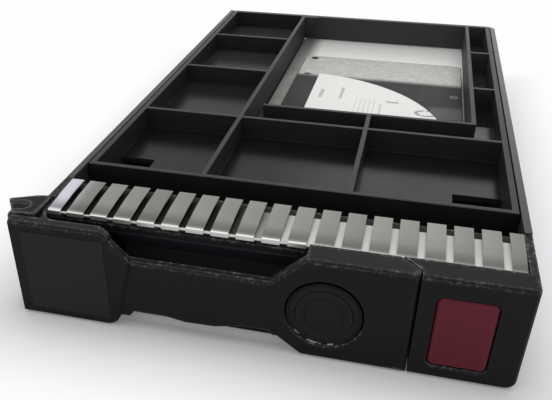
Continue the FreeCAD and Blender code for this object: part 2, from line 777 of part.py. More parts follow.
def converter_ribs():
    x0 = -CONV_X + CONV_WALL_T / 2
    x1 = CONV_X - CONV_WALL_T / 2
    y0 = CONV_Y0 + CONV_FRONT_T / 2
    y1 = TRAY_END_Y - CONV_REAR_T / 2
    floor = CELL_FLOOR_Z - CELL_FLOOR_T / 2
    ribs = [row_rib(x0, x1, ROW_1_Y, floor, TRAY_H)]
    ribs.append(row_rib(x0, COLUMN_1_X, ROW_2_Y, CONV_BASE_Z, TRAY_H))
    ribs.append(row_rib(x0, COLUMN_1_X, ROW_3_Y, CONV_BASE_Z, TRAY_H))
    ribs.append(row_rib(COLUMN_3_X, x1, ROW_2_Y, SIDE_FLOOR_TOP_Z - RIB_T, TRAY_H))
    ribs.append(row_rib(COLUMN_3_X, x1, ROW_3_Y, SIDE_FLOOR_TOP_Z - RIB_T, TRAY_H))
    ribs.append(column_rib(COLUMN_1_X, y0, y1, CONV_BASE_Z, TRAY_H))
    ribs.append(column_rib(COLUMN_2_X, y0, WINDOW_FRONT_Y, floor, TRAY_H))
    ribs.append(column_rib(COLUMN_3_X, WINDOW_FRONT_Y, y1, BAY_TOP_Z, TRAY_H))
    ribs.append(row_rib(WINDOW_FRONT_X, COLUMN_3_X + RIB_T / 2, WINDOW_FRONT_Y, BAY_TOP_Z, TRAY_H))
    return ribs


def converter_under_ribs():
    """Walls below the cell floor: round the drive bay and across the front row."""
    under = CELL_FLOOR_Z - CELL_FLOOR_T / 2
    bay_front = DRIVE_Y0 - GAP - RIB_T / 2
    y0 = CONV_Y0 + CONV_FRONT_T / 2
    parts = [row_rib(-CONV_X + CONV_WALL_T / 2, CONV_X - CONV_WALL_T / 2, bay_front, CONV_BASE_Z, under)]
    parts.append(column_rib(COLUMN_2_X, y0, bay_front, CONV_BASE_Z, under))
    low_x0 = COLUMN_3_X
    low_x1 = CONV_X - CONV_WALL_T / 2
    y1 = TRAY_END_Y - CONV_REAR_T / 2
    parts.append(box(low_x0, low_x1, SIDE_STEP_Y - RIB_T, y1, BAY_TOP_Z, SIDE_FLOOR_TOP_Z))
    parts.append(box(low_x0, low_x1, SIDE_STEP_Y - RIB_T, SIDE_STEP_Y, BAY_TOP_Z, CELL_FLOOR_Z))
    tab_x1 = WINDOW_FRONT_X
    tab_y0 = WINDOW_FRONT_Y
    parts.append(box(COLUMN_1_X, tab_x1, tab_y0, tab_y0 + WINDOW_TAB_L, under, CELL_FLOOR_Z))
    rear_in = TRAY_END_Y - CONV_REAR_T
    web = [(BAY_LEFT_X, TRAY_H), (BAY_LEFT_X + WEB_W, TRAY_H), (BAY_LEFT_X, BAY_TOP_Z)]
    parts.append(prism_y(web, rear_in - WEB_T, rear_in + WEB_T / 2))
    return parts


def screw_boss(x, y, z, inward):
    """Block on the inside of a side wall that a rail screw threads into."""
    depth = M3_LENGTH - RAIL_T
    x_wall = CONV_X if x > 0 else -CONV_X
    x_end = x_wall + inward.x * depth
    low = min(x_wall, x_end)
    high = max(x_wall, x_end)
    return box(low, high, y - BOSS_R, y + BOSS_R, CONV_BASE_Z, z + BOSS_R)


def drive_tabs():
    tabs = []
    for x, y, z, up in drive_bottom_spots():
        low = COLUMN_1_X
        tabs.append(box(low, low + TAB_W, y - TAB_L / 2, y + TAB_L / 2, CONV_BASE_Z, DRIVE_BASE_Z))
    return tabs


def build_converter_frame():
    frame = minus(converter_shell(), converter_bay_cut())
    frame = join([frame] + converter_ribs() + converter_under_ribs())
    frame = join([frame] + [screw_boss(x, y, z, d) for x, y, z, d in rail_screw_spots()] + drive_tabs())
    slot_y0 = CONV_Y0 + CONV_FRONT_T
    wall_x = CONV_X - CONV_WALL_T
    slot_z0 = CELL_FLOOR_Z - CELL_FLOOR_T - GAP
    cuts = [box(-wall_x, -wall_x + FRONT_SLOT_LEFT_W, slot_y0, slot_y0 + FRONT_SLOT_L, slot_z0, TRAY_H)]
    cuts.append(box(wall_x - FRONT_SLOT_RIGHT_W, wall_x, slot_y0, slot_y0 + FRONT_SLOT_L, slot_z0, TRAY_H))
    for x, y, z, inward in rail_screw_spots():
        start = vec(CONV_X if x > 0 else -CONV_X, y, z)
        cuts.append(Part.makeCylinder(M3_R + FIT, M3_LENGTH, start, inward))
    for x, y, z, inward in drive_side_spots():
        start = vec(CONV_X, y, z)
        cuts.append(Part.makeCylinder(M3_R + FIT, 2 * CONV_WALL_T, start, inward))
    for x, y, z, inward in drive_bottom_spots():
        cuts.append(sunk_hole(x, y, z, inward, DRIVE_BASE_Z))
    corner_x = CONV_X - REAR_CORNER_R
    corner_y = TRAY_END_Y - (RAIL_X - (RAIL_IN_X - REAR_CORNER_R - 2 * SEAT))
    reach = RAIL_X - RAIL_IN_X + REAR_CORNER_R + 2 * SEAT
    square = box(corner_x, CONV_X + 1, corner_y, TRAY_END_Y + 1, 0, TRAY_H)
    keep = rod_z(corner_x - SEAT / 2, corner_y, 0, TRAY_H, reach - RAIL_T - GAP)
    cuts.append(square.cut(keep))
    save("converter_frame", minus(frame, cuts))


# ------------------------------------------------------------------ bezel body

def bezel_block():
    """Right-hand end of the bezel, a box open at the back that houses button and latch."""
    x1 = RAIL_X
    block = box(SEAM_X, x1, 0, BEZEL_L, 0, BEZEL_H)
    corner = []
    for edge in block.Edges:
        mid = edge.CenterOfMass
        if abs(mid.x - x1) < 1e-6 and abs(mid.z) < 1e-6:
            corner.append(edge)
    block = block.makeFillet(BEZEL_CORNER_R, corner)
    block = chamfer_front(block, 0, EDGE_CHAMFER, SEAM_X)
    hollow = box(SEAM_X + BEZEL_T, x1 - BEZEL_T, BEZEL_T, BEZEL_L - BEZEL_T, BEZEL_T, BEZEL_TOP_Z)
    step = box(SEAM_X - GAP, x1 - BEZEL_T, LIP_Y - 2 * GAP, BEZEL_L + GAP, BEZEL_TOP, BEZEL_H + GAP)
    groove_z = BEZEL_TOP - FINGER_FOLD_DROP - SEAT / 2
    groove = box(SEAM_X - GAP, x1 - BEZEL_T, LIP_Y - 2 * GAP, LIP_Y, groove_z, BEZEL_H + GAP)
    hole = box(BUTTON_X0 - GAP, BUTTON_X1 + GAP, -GAP, BEZEL_T + GAP, BUTTON_Z0 - GAP, BUTTON_Z1 + GAP)
    hole = round_edges(hole, BUTTON_R + GAP, 1)
    port_z0 = LATCH_Z0 - GAP
    port_z1 = LATCH_Z1 + GAP
    port = box(SEAM_X - GAP, SEAM_X + BEZEL_T + GAP, NOSE_Y0 - GAP, NOSE_Y1 + GAP, port_z0, port_z1)
    rear = LIP_Y - 2 * GAP
    line = LEVER_X1 - END_CUT + rear + 1.5 * GAP
    plan = [(SEAM_X, line - SEAM_X), (line - rear, rear), (SEAM_X + BEZEL_T, rear),
            (SEAM_X + BEZEL_T, line - SEAM_X)]
    fill = prism_z(plan, END_CUT_Z + GAP, BEZEL_H)
    return minus(block, [hollow, step, groove, hole, port]).fuse(fill)


def bezel_beam():
    """Top plate, rear wall and foot that run the width of the bezel behind the lever."""
    x0 = -RAIL_X + BEZEL_T
    x1 = SEAM_X + BEZEL_T / 2
    plate = box(x0, x1, LIP_Y, BEZEL_L, BEZEL_TOP_Z, BEZEL_TOP)
    wall = box(x0, x1, BEZEL_L - BEZEL_T, BEZEL_L, 0, BEZEL_TOP)
    foot = box(x0, x1, FOOT_FRONT_Y, BEZEL_L, 0, BEZEL_T)
    grip_step = box(SCOOP_X0, SCOOP_X1, GRIP_STEP_Y, BEZEL_L, 0, BEZEL_T)
    side = box(-RAIL_X, x0, EAR_REAR_Y - SEAT, BEZEL_L, 0, TRAY_H)
    cheek = box(-RAIL_X, x0, PIN_Y + 2 * GAP, BEZEL_L, 0, BEZEL_TOP)
    lip = box(x0, x1, LIP_Y, LIP_Y + LIP_T, LIP_Z, BEZEL_TOP)
    return [plate, wall, foot, grip_step, side, cheek, lip]


def bezel_scoop():
    """Curved wall behind the grip that leaves room for the fingers."""
    top_z = LIP_Z + LIP_T
    outer = [(LIP_Y, top_z), (SCOOP_MID_Y, SCOOP_MID_Z), (SCOOP_FOOT_Y, 0)]
    inner = [(SCOOP_FOOT_Y + SCOOP_T, 0), (SCOOP_MID_Y + SCOOP_T, SCOOP_MID_Z),
             (LIP_Y + SCOOP_T, top_z + SCOOP_T)]
    return prism_x(outer + inner, SCOOP_X0, SCOOP_X1)


def ear(z0, z1):
    """Hinge ear: a slanted tab over the pin that is carried by the side of the bezel."""
    side_x = -RAIL_X + EAR_SIDE_GAP
    r = EAR_TIP_R
    tip = rod_z(EAR_TIP_X + r, EAR_TIP_Y, z0, z1, r)
    plan = [(EAR_TIP_X, EAR_TIP_Y), (PIN_X - r, EAR_FRONT_Y), (side_x, EAR_FRONT_Y + r / 2),
            (side_x, EAR_REAR_Y)]
    plan += [(PIN_X + PIN_R, EAR_SLOPE_Y), (EAR_TIP_X + r, EAR_TIP_Y + r)]
    return [tip, prism_z(plan, z0, z1)]


def bezel_arms():
    arms = []
    for side in (-1, 1):
        inner = side * (RAIL_IN_X - ARM_TAB_T)
        outer = side * RAIL_IN_X
        low = min(inner, outer)
        high = max(inner, outer)
        arms.append(box(low, high, BEZEL_L - BEZEL_T, BEZEL_L + ARM_REACH, ARM_TAB_Z0, ARM_TAB_Z1))
    return arms


def build_bezel_body():
    pieces = [bezel_block()] + bezel_beam() + [bezel_scoop()]
    pieces += ear(EAR_TOP_Z - EAR_T, EAR_TOP_Z) + ear(0, EAR_T) + bezel_arms()
    body = join(pieces)
    cuts = [rod_z(PIN_X, PIN_Y, -1, PIN_TOP_Z + FIT, PIN_R + FIT)]
    recess_z = EAR_TOP_Z - EAR_RECESS_T
    cuts.append(rod_z(PIN_X, PIN_Y, recess_z, TRAY_H, EAR_RECESS_R))
    out_x = EAR_TIP_X - 1
    low_y = PIN_Y - EAR_RECESS_R
    high_y = PIN_Y + EAR_RECESS_R
    finger_slot = [(PIN_X, high_y), (out_x, high_y - EAR_RECESS_SLANT), (out_x, low_y - EAR_RECESS_SLANT),
                   (PIN_X, low_y)]
    cuts.append(prism_z(finger_slot, recess_z, TRAY_H))
    clip_z = BEZEL_TOP - FINGER_FOLD_DROP
    cuts.append(box(-RAIL_X, SEAM_X, LIP_Y - 1, LIP_Y + CLIP_GROOVE_D, clip_z - CLIP_GROOVE_H, clip_z))
    slot_z0 = CARRIER_FLEX_Z0 - FLEX_GROOVE_MARGIN
    slot_z1 = CARRIER_FLEX_Z1 + FLEX_GROOVE_MARGIN
    tail_x = RING_X - LED_BOARD_W / 2 + 1
    cuts.append(box(tail_x - GAP, tail_x + CARRIER_FLEX_T + GAP, BEZEL_L - 2 * BEZEL_T, BEZEL_L + 1,
                    slot_z0, slot_z1))
    cuts.append(rod_y(RING_X, RING_Z, LIP_Y - 1, LED_BOARD_Y + LED_BOARD_T, RING_OUTER_R + GAP))
    for x, y, z, inward in bezel_screw_spots():
        cuts.append(Part.makeCylinder(M3_R + FIT, 2 * RAIL_T + 2 * ARM_TAB_T, vec(x, y, z), inward))
    save("bezel_body", minus(body, cuts))


# ------------------------------------------------------------------ spring finger strip

def finger_profile(rear_y):
    """Side view of a finger: folded down at the front, arched, resting at the back."""
    t = FINGER_T
    mid_y = (LIP_Y + rear_y) / 2
    base = BEZEL_TOP
    outer = [(LIP_Y - t, base - FINGER_FOLD_DROP), (LIP_Y - t, FINGER_FOLD_Z - t)]
    outer.append((LIP_Y + t, FINGER_FOLD_Z))
    outer.append((mid_y, FINGER_TOP_Z - t))
    outer.append((rear_y - 2 * t, FINGER_TOP_Z))
    outer.append((rear_y, FINGER_TOP_Z - 2 * t))
    inner = [(rear_y - t, FINGER_TOP_Z - 3 * t), (rear_y - 3 * t, FINGER_TOP_Z - t)]
    inner.append((mid_y, FINGER_TOP_Z - 2 * t))
    inner.append((LIP_Y + 2 * t, FINGER_FOLD_Z - t))
    inner.append((LIP_Y, FINGER_FOLD_Z - 2 * t))
    inner.append((LIP_Y, base - FINGER_FOLD_DROP))
    return outer + inner


def build_emi_fingers():
    end_x = RAIL_X - BEZEL_T - SEAT
    skirt_z = BEZEL_TOP - FINGER_FOLD_DROP
    base = box(FINGER_X0, end_x, LIP_Y - FINGER_T, FINGER_BASE_REAR_Y, BEZEL_TOP, BEZEL_TOP + FINGER_T)
    skirt = box(FINGER_X0, end_x, LIP_Y - FINGER_T, LIP_Y, BEZEL_TOP - FINGER_T, BEZEL_TOP + FINGER_T)
    pieces = [base, skirt]
    for i in range(FINGER_COUNT):
        x = FINGER_X0 - FINGER_LEAD + i * FINGER_PITCH
        pieces.append(prism_x(finger_profile(FINGER_REAR_Y), max(x, FINGER_X0), min(x + FINGER_W, end_x)))
    strip = join(pieces)
    below = box(FINGER_X0 - 1, end_x + 1, LIP_Y, FINGER_REAR_Y + 1, skirt_z, BEZEL_TOP)
    save("emi_fingers", strip.cut(below))


# ------------------------------------------------------------------ swing lever

def grip_foot():
    """Lower edge of the grip: two shallow arches that leave a lobe in the middle."""
    x0 = GRIP_FOOT_X0 + GRIP_ARCH_IN
    x1 = GRIP_FOOT_X1 - GRIP_ARCH_IN / 2
    rise = (GRIP_FOOT_Z1 - GRIP_FOOT_Z0) / (GRIP_FOOT_X1 - GRIP_FOOT_X0)
    steps = [(GRIP_FOOT_X0, 0), (x0, 0), (x0 + 1, GRIP_ARCH_Z), (x0 + GRIP_ARCH_L, GRIP_ARCH_Z),
             (x0 + GRIP_ARCH_END, 0)]
    steps += [(x1 - GRIP_ARCH_END, 0), (x1 - GRIP_ARCH_L, GRIP_ARCH_Z), (x1 - 1, GRIP_ARCH_Z), (x1, 0)]
    steps.append((GRIP_FOOT_X1, 0))
    return [(x, GRIP_FOOT_Z0 + rise * (x - GRIP_FOOT_X0) + up) for x, up in steps]


def lever_plates():
    """Front plates: raised label pad, arched grip and the tall end that carries the ring."""
    y0 = -LABEL_PAD_PROUD
    pad = [(LEVER_X0, 0)] + arc_points(PAD_FOOT_X, PAD_FOOT_R, PAD_FOOT_R, -90, 0,
                                       6) + [(GRIP_X0, GRIP_TOP_Z)]
    pad += arc_points(PAD_X1 - PAD_CORNER_R, LEVER_TOP_Z - PAD_CORNER_R, PAD_CORNER_R, 0, 90, 5)
    pad.append((LEVER_X0, LEVER_TOP_Z))
    raised = chamfer_front(prism_y(pad, y0, y0 + LEVER_T), y0, EDGE_CHAMFER, LEVER_X0)
    grip = grip_foot() + [(SLOPE_X1, GRIP_FOOT_Z1), (GRIP_X1 + 1, GRIP_TOP_Z), (GRIP_X0 - 1, GRIP_TOP_Z)]
    grip.append((GRIP_FOOT_X0 - 1, PAD_FOOT_R + 1))
    end = [(GRIP_X1, GRIP_TOP_Z), (GRIP_FOOT_X1, GRIP_FOOT_Z1), (SLOPE_X1, 0), (LEVER_X1, 0)]
    end += [(LEVER_X1, LEVER_TOP_Z - END_CORNER), (LEVER_X1 - END_CORNER, LEVER_TOP_Z),
            (SLOPE_X1, LEVER_TOP_Z)]
    plain = join([prism_y(grip, 0, LEVER_T), prism_y(end, 0, LEVER_T)])
    return [raised, chamfer_front(plain, 0, EDGE_CHAMFER, GRIP_X0)]


def lever_ribs():
    """Walls behind the plates: box round the ring end, rib along the grip and pad stiffeners."""
    w = LEVER_WALL
    deep = LEVER_BOX_DEPTH
    walls = [box(SLOPE_X1, LEVER_X1, LEVER_T / 2, deep, 0, w)]
    walls.append(box(SLOPE_X1, LEVER_X1, LEVER_T / 2, LIP_Y - 2 * GAP, LEVER_TOP_Z - w, LEVER_TOP_Z))
    walls.append(box(LEVER_X1 - w, LEVER_X1, LEVER_T / 2, deep - GAP, 0, HOOK_Z0 - 2 * GAP))
    walls.append(box(LEVER_X1 - w, LEVER_X1, LEVER_T / 2, LIP_Y - 2 * GAP, HOOK_Z1 + 2 * GAP, LEVER_TOP_Z))
    walls.append(box(LEVER_X0, PAD_X1 - PAD_CORNER_R, 0, PAD_FLANGE_Y, LEVER_TOP_Z - w, LEVER_TOP_Z))
    walls.append(sector(RIM_X, RIM_Y, RIM_R - RIM_T, RIM_R, 180, 270, LEVER_TOP_Z - RIM_H, LEVER_TOP_Z))
    foot_y1 = LEVER_T + GRIP_RIB_D
    foot_z0 = GRIP_FOOT_Z1 + GRIP_ARCH_Z
    walls.append(box(GRIP_FOOT_X0, GRIP_FOOT_X1, LEVER_T / 2, foot_y1, foot_z0, foot_z0 + w))
    for x in (LEVER_X0 + 2 * BOSS_R, PAD_FOOT_X - w):
        walls.append(box(x, x + w, LEVER_T / 2, KNUCKLE_WEB_Y, EAR_T + GAP, EAR_TOP_Z - EAR_T - GAP))
    return walls


def lever_knuckle():
    z0 = EAR_T + GAP
    z1 = EAR_TOP_Z - EAR_T - GAP
    barrel = rod_z(PIN_X, PIN_Y, z0, z1, KNUCKLE_R)
    web = box(PIN_X, KNUCKLE_WEB_X1, LEVER_T / 2, KNUCKLE_WEB_Y, z0, z1)
    neck = box(LEVER_X0, PIN_X + KNUCKLE_R / 2, LEVER_T / 2, PIN_Y, z0, z1)
    return [barrel, web, neck]


def lever_hook():
    arm = box(HOOK_X0, HOOK_X0 + HOOK_T, LEVER_T / 2, HOOK_REACH, HOOK_Z0, HOOK_Z1)
    lip = box(HOOK_X0, HOOK_X1, HOOK_REACH - HOOK_LIP, HOOK_REACH, HOOK_Z0, HOOK_Z1)
    return [arm, lip]


def build_swing_lever():
    lever = join(lever_plates() + lever_ribs() + lever_knuckle() + lever_hook())
    cuts = [rod_z(PIN_X, PIN_Y, 0, TRAY_H, PIN_R + FIT)]
    cuts.append(rod_z(PIN_X, PIN_Y, SPRING_POCKET_Z, TRAY_H, SPRING_POCKET_R))
    cuts.append(box(PIN_X - KNUCKLE_R - 1, PIN_X - KNUCKLE_R + JAW_DEPTH, 0, TRAY_H, JAW_Z0, JAW_Z1))
    cuts.append(rod_y(RING_X, RING_Z, -1, LEVER_BOX_DEPTH + 2, RING_POCKET_R))
    rear = LIP_Y - 2 * GAP
    corner = [(LEVER_X1 + 1, rear - END_CUT - 1), (LEVER_X1 + 1, rear + 1),
              (LEVER_X1 - END_CUT - 1, rear + 1)]
    cuts.append(prism_z(corner, END_CUT_Z, TRAY_H))
    trim_z0 = END_TRIM_MARGIN_Z
    trim_z1 = LEVER_TOP_Z - END_TRIM_MARGIN_Z
    cuts.append(box(END_TRIM_X0, LEVER_X1 - END_TRIM_MARGIN_Z, -1, END_TRIM_T, trim_z0, trim_z1))
    spokes = ring_mount()
    save("swing_lever", join([minus(lever, cuts)] + spokes))
    trim = box(END_TRIM_X0, LEVER_X1 - END_TRIM_MARGIN_Z, 0, END_TRIM_T, trim_z0, trim_z1)
    save("lever_end_trim", trim)
    y1 = -LABEL_PAD_PROUD
    save("lever_label", box(PAD_LABEL_X0, PAD_LABEL_X1, y1 - LABEL_T, y1, PAD_LABEL_Z0, PAD_LABEL_Z1))


def ring_mount():
    """Thin web at the back of the plate that the ring lens and the disc are pressed against."""
    y0 = DISC_FACE_L
    web = rod_y(RING_X, RING_Z, y0, y0 + LEVER_T / 2, DISC_FACE_R)
    bar = box(RING_X - RING_POCKET_R - 1, RING_X + RING_POCKET_R + 1, RING_LENS_L,
              RING_LENS_L + LEVER_T / 2,
              RING_Z - 1, RING_Z + 1)
    post = rod_y(RING_X, RING_Z, y0, RING_LENS_L + LEVER_T / 2, 2.2)
    side = RING_X + RING_POCKET_R
    low = box(side, side + 1, LEVER_T / 2, RING_LENS_L + LEVER_T / 2, RING_Z - 1, RING_Z + 1)
    other = box(RING_X - RING_POCKET_R - 1, RING_X - RING_POCKET_R, LEVER_T / 2, RING_LENS_L + LEVER_T / 2,
                RING_Z - 1, RING_Z + 1)
    return [web.fuse(post).fuse(bar).fuse(low).fuse(other)]


def build_pivot_pin():
    save("pivot_pin", rod_z(PIN_X, PIN_Y, GAP, PIN_TOP_Z, PIN_R))


# ------------------------------------------------------------------ status lights

def build_status_lights():
    ring = ring_y(RING_X, RING_Z, -RING_PROUD, RING_LENS_L, RING_INNER_R, RING_OUTER_R)
    save("status_ring", ring)
    disc = rod_y(RING_X, RING_Z, -DISC_FACE_PROUD, DISC_FACE_L, DISC_FACE_R)
    save("status_disc", disc)
    pipe_y0 = LEVER_BOX_DEPTH + LEVER_T / 2 + 2 * SEAT
    save("light_pipe", ring_y(RING_X, RING_Z, pipe_y0, LED_BOARD_Y - LED_T, RING_INNER_R, RING_OUTER_R))
    x0 = RING_X - LED_BOARD_W / 2
    board = box(x0, x0 + LED_BOARD_W, LED_BOARD_Y, LED_BOARD_Y + LED_BOARD_T, BEZEL_T + LED_BOARD_FOOT,
                BEZEL_TOP_Z - LED_BOARD_HEAD)
    save("led_board", board)
    middle_r = (RING_INNER_R + RING_OUTER_R) / 2
    leds = []
    for i in range(LED_COUNT):
        angle = radians(360.0 * i / LED_COUNT)
        x = RING_X + middle_r * cos(angle)
        z = RING_Z + middle_r * sin(angle)
        half = LED_SIZE / 2
        leds.append(box(x - half, x + half, LED_BOARD_Y - LED_T + SEAT, LED_BOARD_Y, z - half, z + half))
    save("status_leds", Part.makeCompound(leds))


# ------------------------------------------------------------------ button and latch

def button_wedge():
    """Ramp on the back of the button that pushes the latch aside."""
    root_y = BUTTON_L
    points = [(WEDGE_X0, root_y), (WEDGE_X0, WEDGE_TIP_Y), (WEDGE_TIP_X, WEDGE_TIP_Y)]
    run = WEDGE_TIP_Y - root_y
    points.append((WEDGE_TIP_X + run, root_y))
    return prism_z(points, RAMP_POCKET_Z0 + SEAT, RAMP_POCKET_Z1 - SEAT)


def build_release_button():
    y0 = -BUTTON_PROUD
    body = box(BUTTON_X0, BUTTON_X1, y0, BUTTON_L, BUTTON_Z0, BUTTON_Z1)
    body = chamfer_front(round_edges(body, BUTTON_R, 1), y0, EDGE_CHAMFER, BUTTON_X0 - 1)
    w = BUTTON_WALL
    hollow = box(BUTTON_X0 + w, BUTTON_X1 - w, y0 + 2 * w, BUTTON_L + 1, RAMP_POCKET_Z1 + w, BUTTON_Z1 - w)
    f = BUTTON_FLANGE
    flange_y = BEZEL_T + SEAT
    flange = box(BUTTON_X0 - f, BUTTON_X1 + f, flange_y, flange_y + BUTTON_FLANGE_T, BUTTON_Z0 - f,
                 BUTTON_Z1 + f)
    seat = rod_y(BUTTON_SPRING_X, BUTTON_SPRING_Z, BUTTON_L, BUTTON_L + 2 * LED_T,
                 BUTTON_SPRING_R - 3 * SEAT)
    # room for the leg of the latch as it slides sideways
    slot = box(BUTTON_X0 - 1, NOSE_ROOT_X + BUTTON_TRAVEL + GAP, NOSE_Y0 - BUTTON_TRAVEL - GAP,
               BUTTON_L + 1,
               LATCH_Z0 - GAP, RAMP_POCKET_Z1 + 2 * w)
    save("release_button", join([minus(body, [hollow, slot]), flange.cut(hollow), button_wedge(), seat]))


def latch_pocket():
    """Slot in the latch with a sloped end that follows the wedge."""
    free = BUTTON_TRAVEL + GAP
    slope_gap = GAP
    y0 = LATCH_Y0 - 1
    y1 = LATCH_Y1 + 1
    x_at = WEDGE_TIP_X + WEDGE_TIP_Y + slope_gap
    points = [(WEDGE_X0 - free - GAP, y0), (WEDGE_X0 - free - GAP, y1), (x_at - y1, y1), (x_at - y0, y0)]
    return prism_z(points, RAMP_POCKET_Z0, RAMP_POCKET_Z1)


def build_latch_slide():
    nose = box(NOSE_X, NOSE_ROOT_X, NOSE_Y0, NOSE_Y1, LATCH_Z0, LATCH_Z1)
    leg = box(SEAM_X + BEZEL_T + 3 * GAP - 0.6, NOSE_ROOT_X, NOSE_Y0, LATCH_Y1, LATCH_Z0, LATCH_Z1)
    bar = box(NOSE_ROOT_X, LATCH_END_X, LATCH_Y0, LATCH_Y1, LATCH_Z0, LATCH_Z1)
    slide = join([nose, leg, bar])
    tip = [(NOSE_X, NOSE_Y0), (NOSE_X + 1, NOSE_Y0), (NOSE_X, NOSE_Y0 + 1)]
    chamfer = prism_z(tip, LATCH_Z0, LATCH_Z1)
    spring_end = LATCH_END_X - 1
    seat_y = (LATCH_Y0 + LATCH_Y1) / 2
    stub = rod_x(seat_y, (LATCH_Z0 + LATCH_Z1) / 2, spring_end, LATCH_END_X + 1, LATCH_SPRING_R - 2 * SEAT)
    save("latch_slide", join([minus(slide, [chamfer, latch_pocket()]), stub]))
    guide_z0 = LATCH_Z0 - GAP - LATCH_GUIDE_T
    guide_x0 = WEDGE_ROOT_X - 2
    guide = box(guide_x0, RAIL_X - BEZEL_T, LATCH_Y0, BEZEL_L - BEZEL_T, guide_z0, LATCH_Z0 - GAP)
    roof = box(guide_x0, RAIL_X - BEZEL_T, LATCH_Y0, BEZEL_L - BEZEL_T, LATCH_Z1 + GAP,
               LATCH_Z1 + GAP + LATCH_GUIDE_T)
    back = box(guide_x0, RAIL_X - BEZEL_T, LATCH_Y1 + GAP, BEZEL_L - BEZEL_T, guide_z0,
               LATCH_Z1 + GAP + LATCH_GUIDE_T)
    save("latch_guide", join([guide, roof, back]))


def build_springs():
    y0 = BUTTON_L + SPRING_WIRE_R + SEAT
    y1 = BEZEL_L - BEZEL_T - SPRING_WIRE_R - SEAT
    start = vec(BUTTON_SPRING_X, y0, BUTTON_SPRING_Z)
    save("button_spring", coil(start, vec(0, 1, 0), y1 - y0, BUTTON_SPRING_TURNS, BUTTON_SPRING_R,
                               SPRING_WIRE_R))
    x0 = LATCH_END_X + SPRING_WIRE_R + SEAT
    x1 = RAIL_X - BEZEL_T - SPRING_WIRE_R - SEAT
    start = vec(x0, (LATCH_Y0 + LATCH_Y1) / 2, (LATCH_Z0 + LATCH_Z1) / 2)
    save("latch_spring", coil(start, vec(1, 0, 0), x1 - x0, LATCH_SPRING_TURNS, LATCH_SPRING_R,
                              SPRING_WIRE_R))
    z0 = SPRING_POCKET_Z + SPRING_WIRE_R + SEAT
    z1 = EAR_TOP_Z - EAR_T - SPRING_WIRE_R - SEAT
    start = vec(PIN_X, PIN_Y, z0)
    save("lever_spring", coil(start, vec(0, 0, 1), z1 - z0, LEVER_SPRING_TURNS, LEVER_SPRING_R,
                              SPRING_WIRE_R))


# ------------------------------------------------------------------ status flex

def build_status_flex():
    """Flat cable from the contacts at the rear of the rail to the light board in the bezel."""
    x_out = -RAIL_IN_X - FLEX_GROOVE_DEPTH
    t = CARRIER_FLEX_T
    z0 = CARRIER_FLEX_Z0
    z1 = CARRIER_FLEX_Z1
    tail_x = RING_X - LED_BOARD_W / 2 + 1
    run = box(x_out, x_out + t, BEZEL_L, FLEX_END_Y, z0, z1)
    cross = box(x_out, tail_x + t, BEZEL_L, BEZEL_L + t, z0, z1)
    tail = box(tail_x, tail_x + t, LED_BOARD_Y + LED_BOARD_T, BEZEL_L + t, z0, z1)
    save("status_flex", join([run, cross, tail]))
    pads = []
    pitch = (z1 - z0) / PAD_COUNT
    y = FLEX_END_Y - FLEX_WINDOW_L / 2 - PAD_L / 2
    for i in range(PAD_COUNT):
        z = z0 + (i + 0.5) * pitch - PAD_H / 2
        pads.append(box(x_out - PAD_T, x_out, y, y + PAD_L, z, z + PAD_H))
    save("flex_contacts", Part.makeCompound(pads))


# ------------------------------------------------------------------ drive casting and cover

def cavity(margin, z0, z1):
    bowl = rod_z(SPIN_X, SPIN_Y, z0, z1, DISC_CAVITY_R + margin)
    bay = box(BAY_X0 - margin, BAY_X1 + margin, BAY_Y0, BAY_Y1 + margin, z0, z1)
    return join([bowl, round_edges(bay, BAY_R, 2)])


def cover_screw_spots():
    left = COVER_SCREW_LEFT_X
    spots = [(left, COVER_SCREW_FRONT_Y), (COVER_SCREW_RIGHT_X, COVER_SCREW_FRONT_Y)]
    spots += [(left, COVER_SCREW_MID_Y), (left, COVER_SCREW_REAR_Y)]
    spots += [(COVER_SCREW_RIGHT_X, COVER_SCREW_SIDE_Y)]
    return spots


def board_screw_spots():
    i = BOARD_SCREW_INSET
    spots = [(BOARD_X0 + i, BOARD_Y0 + i), (BOARD_X1 - i, BOARD_Y0 + i)]
    spots += [(BOARD_X0 + i, BOARD_Y1 - 4 * i), (BOARD_X1 - i, BOARD_Y1 - 4 * i)]
    return spots


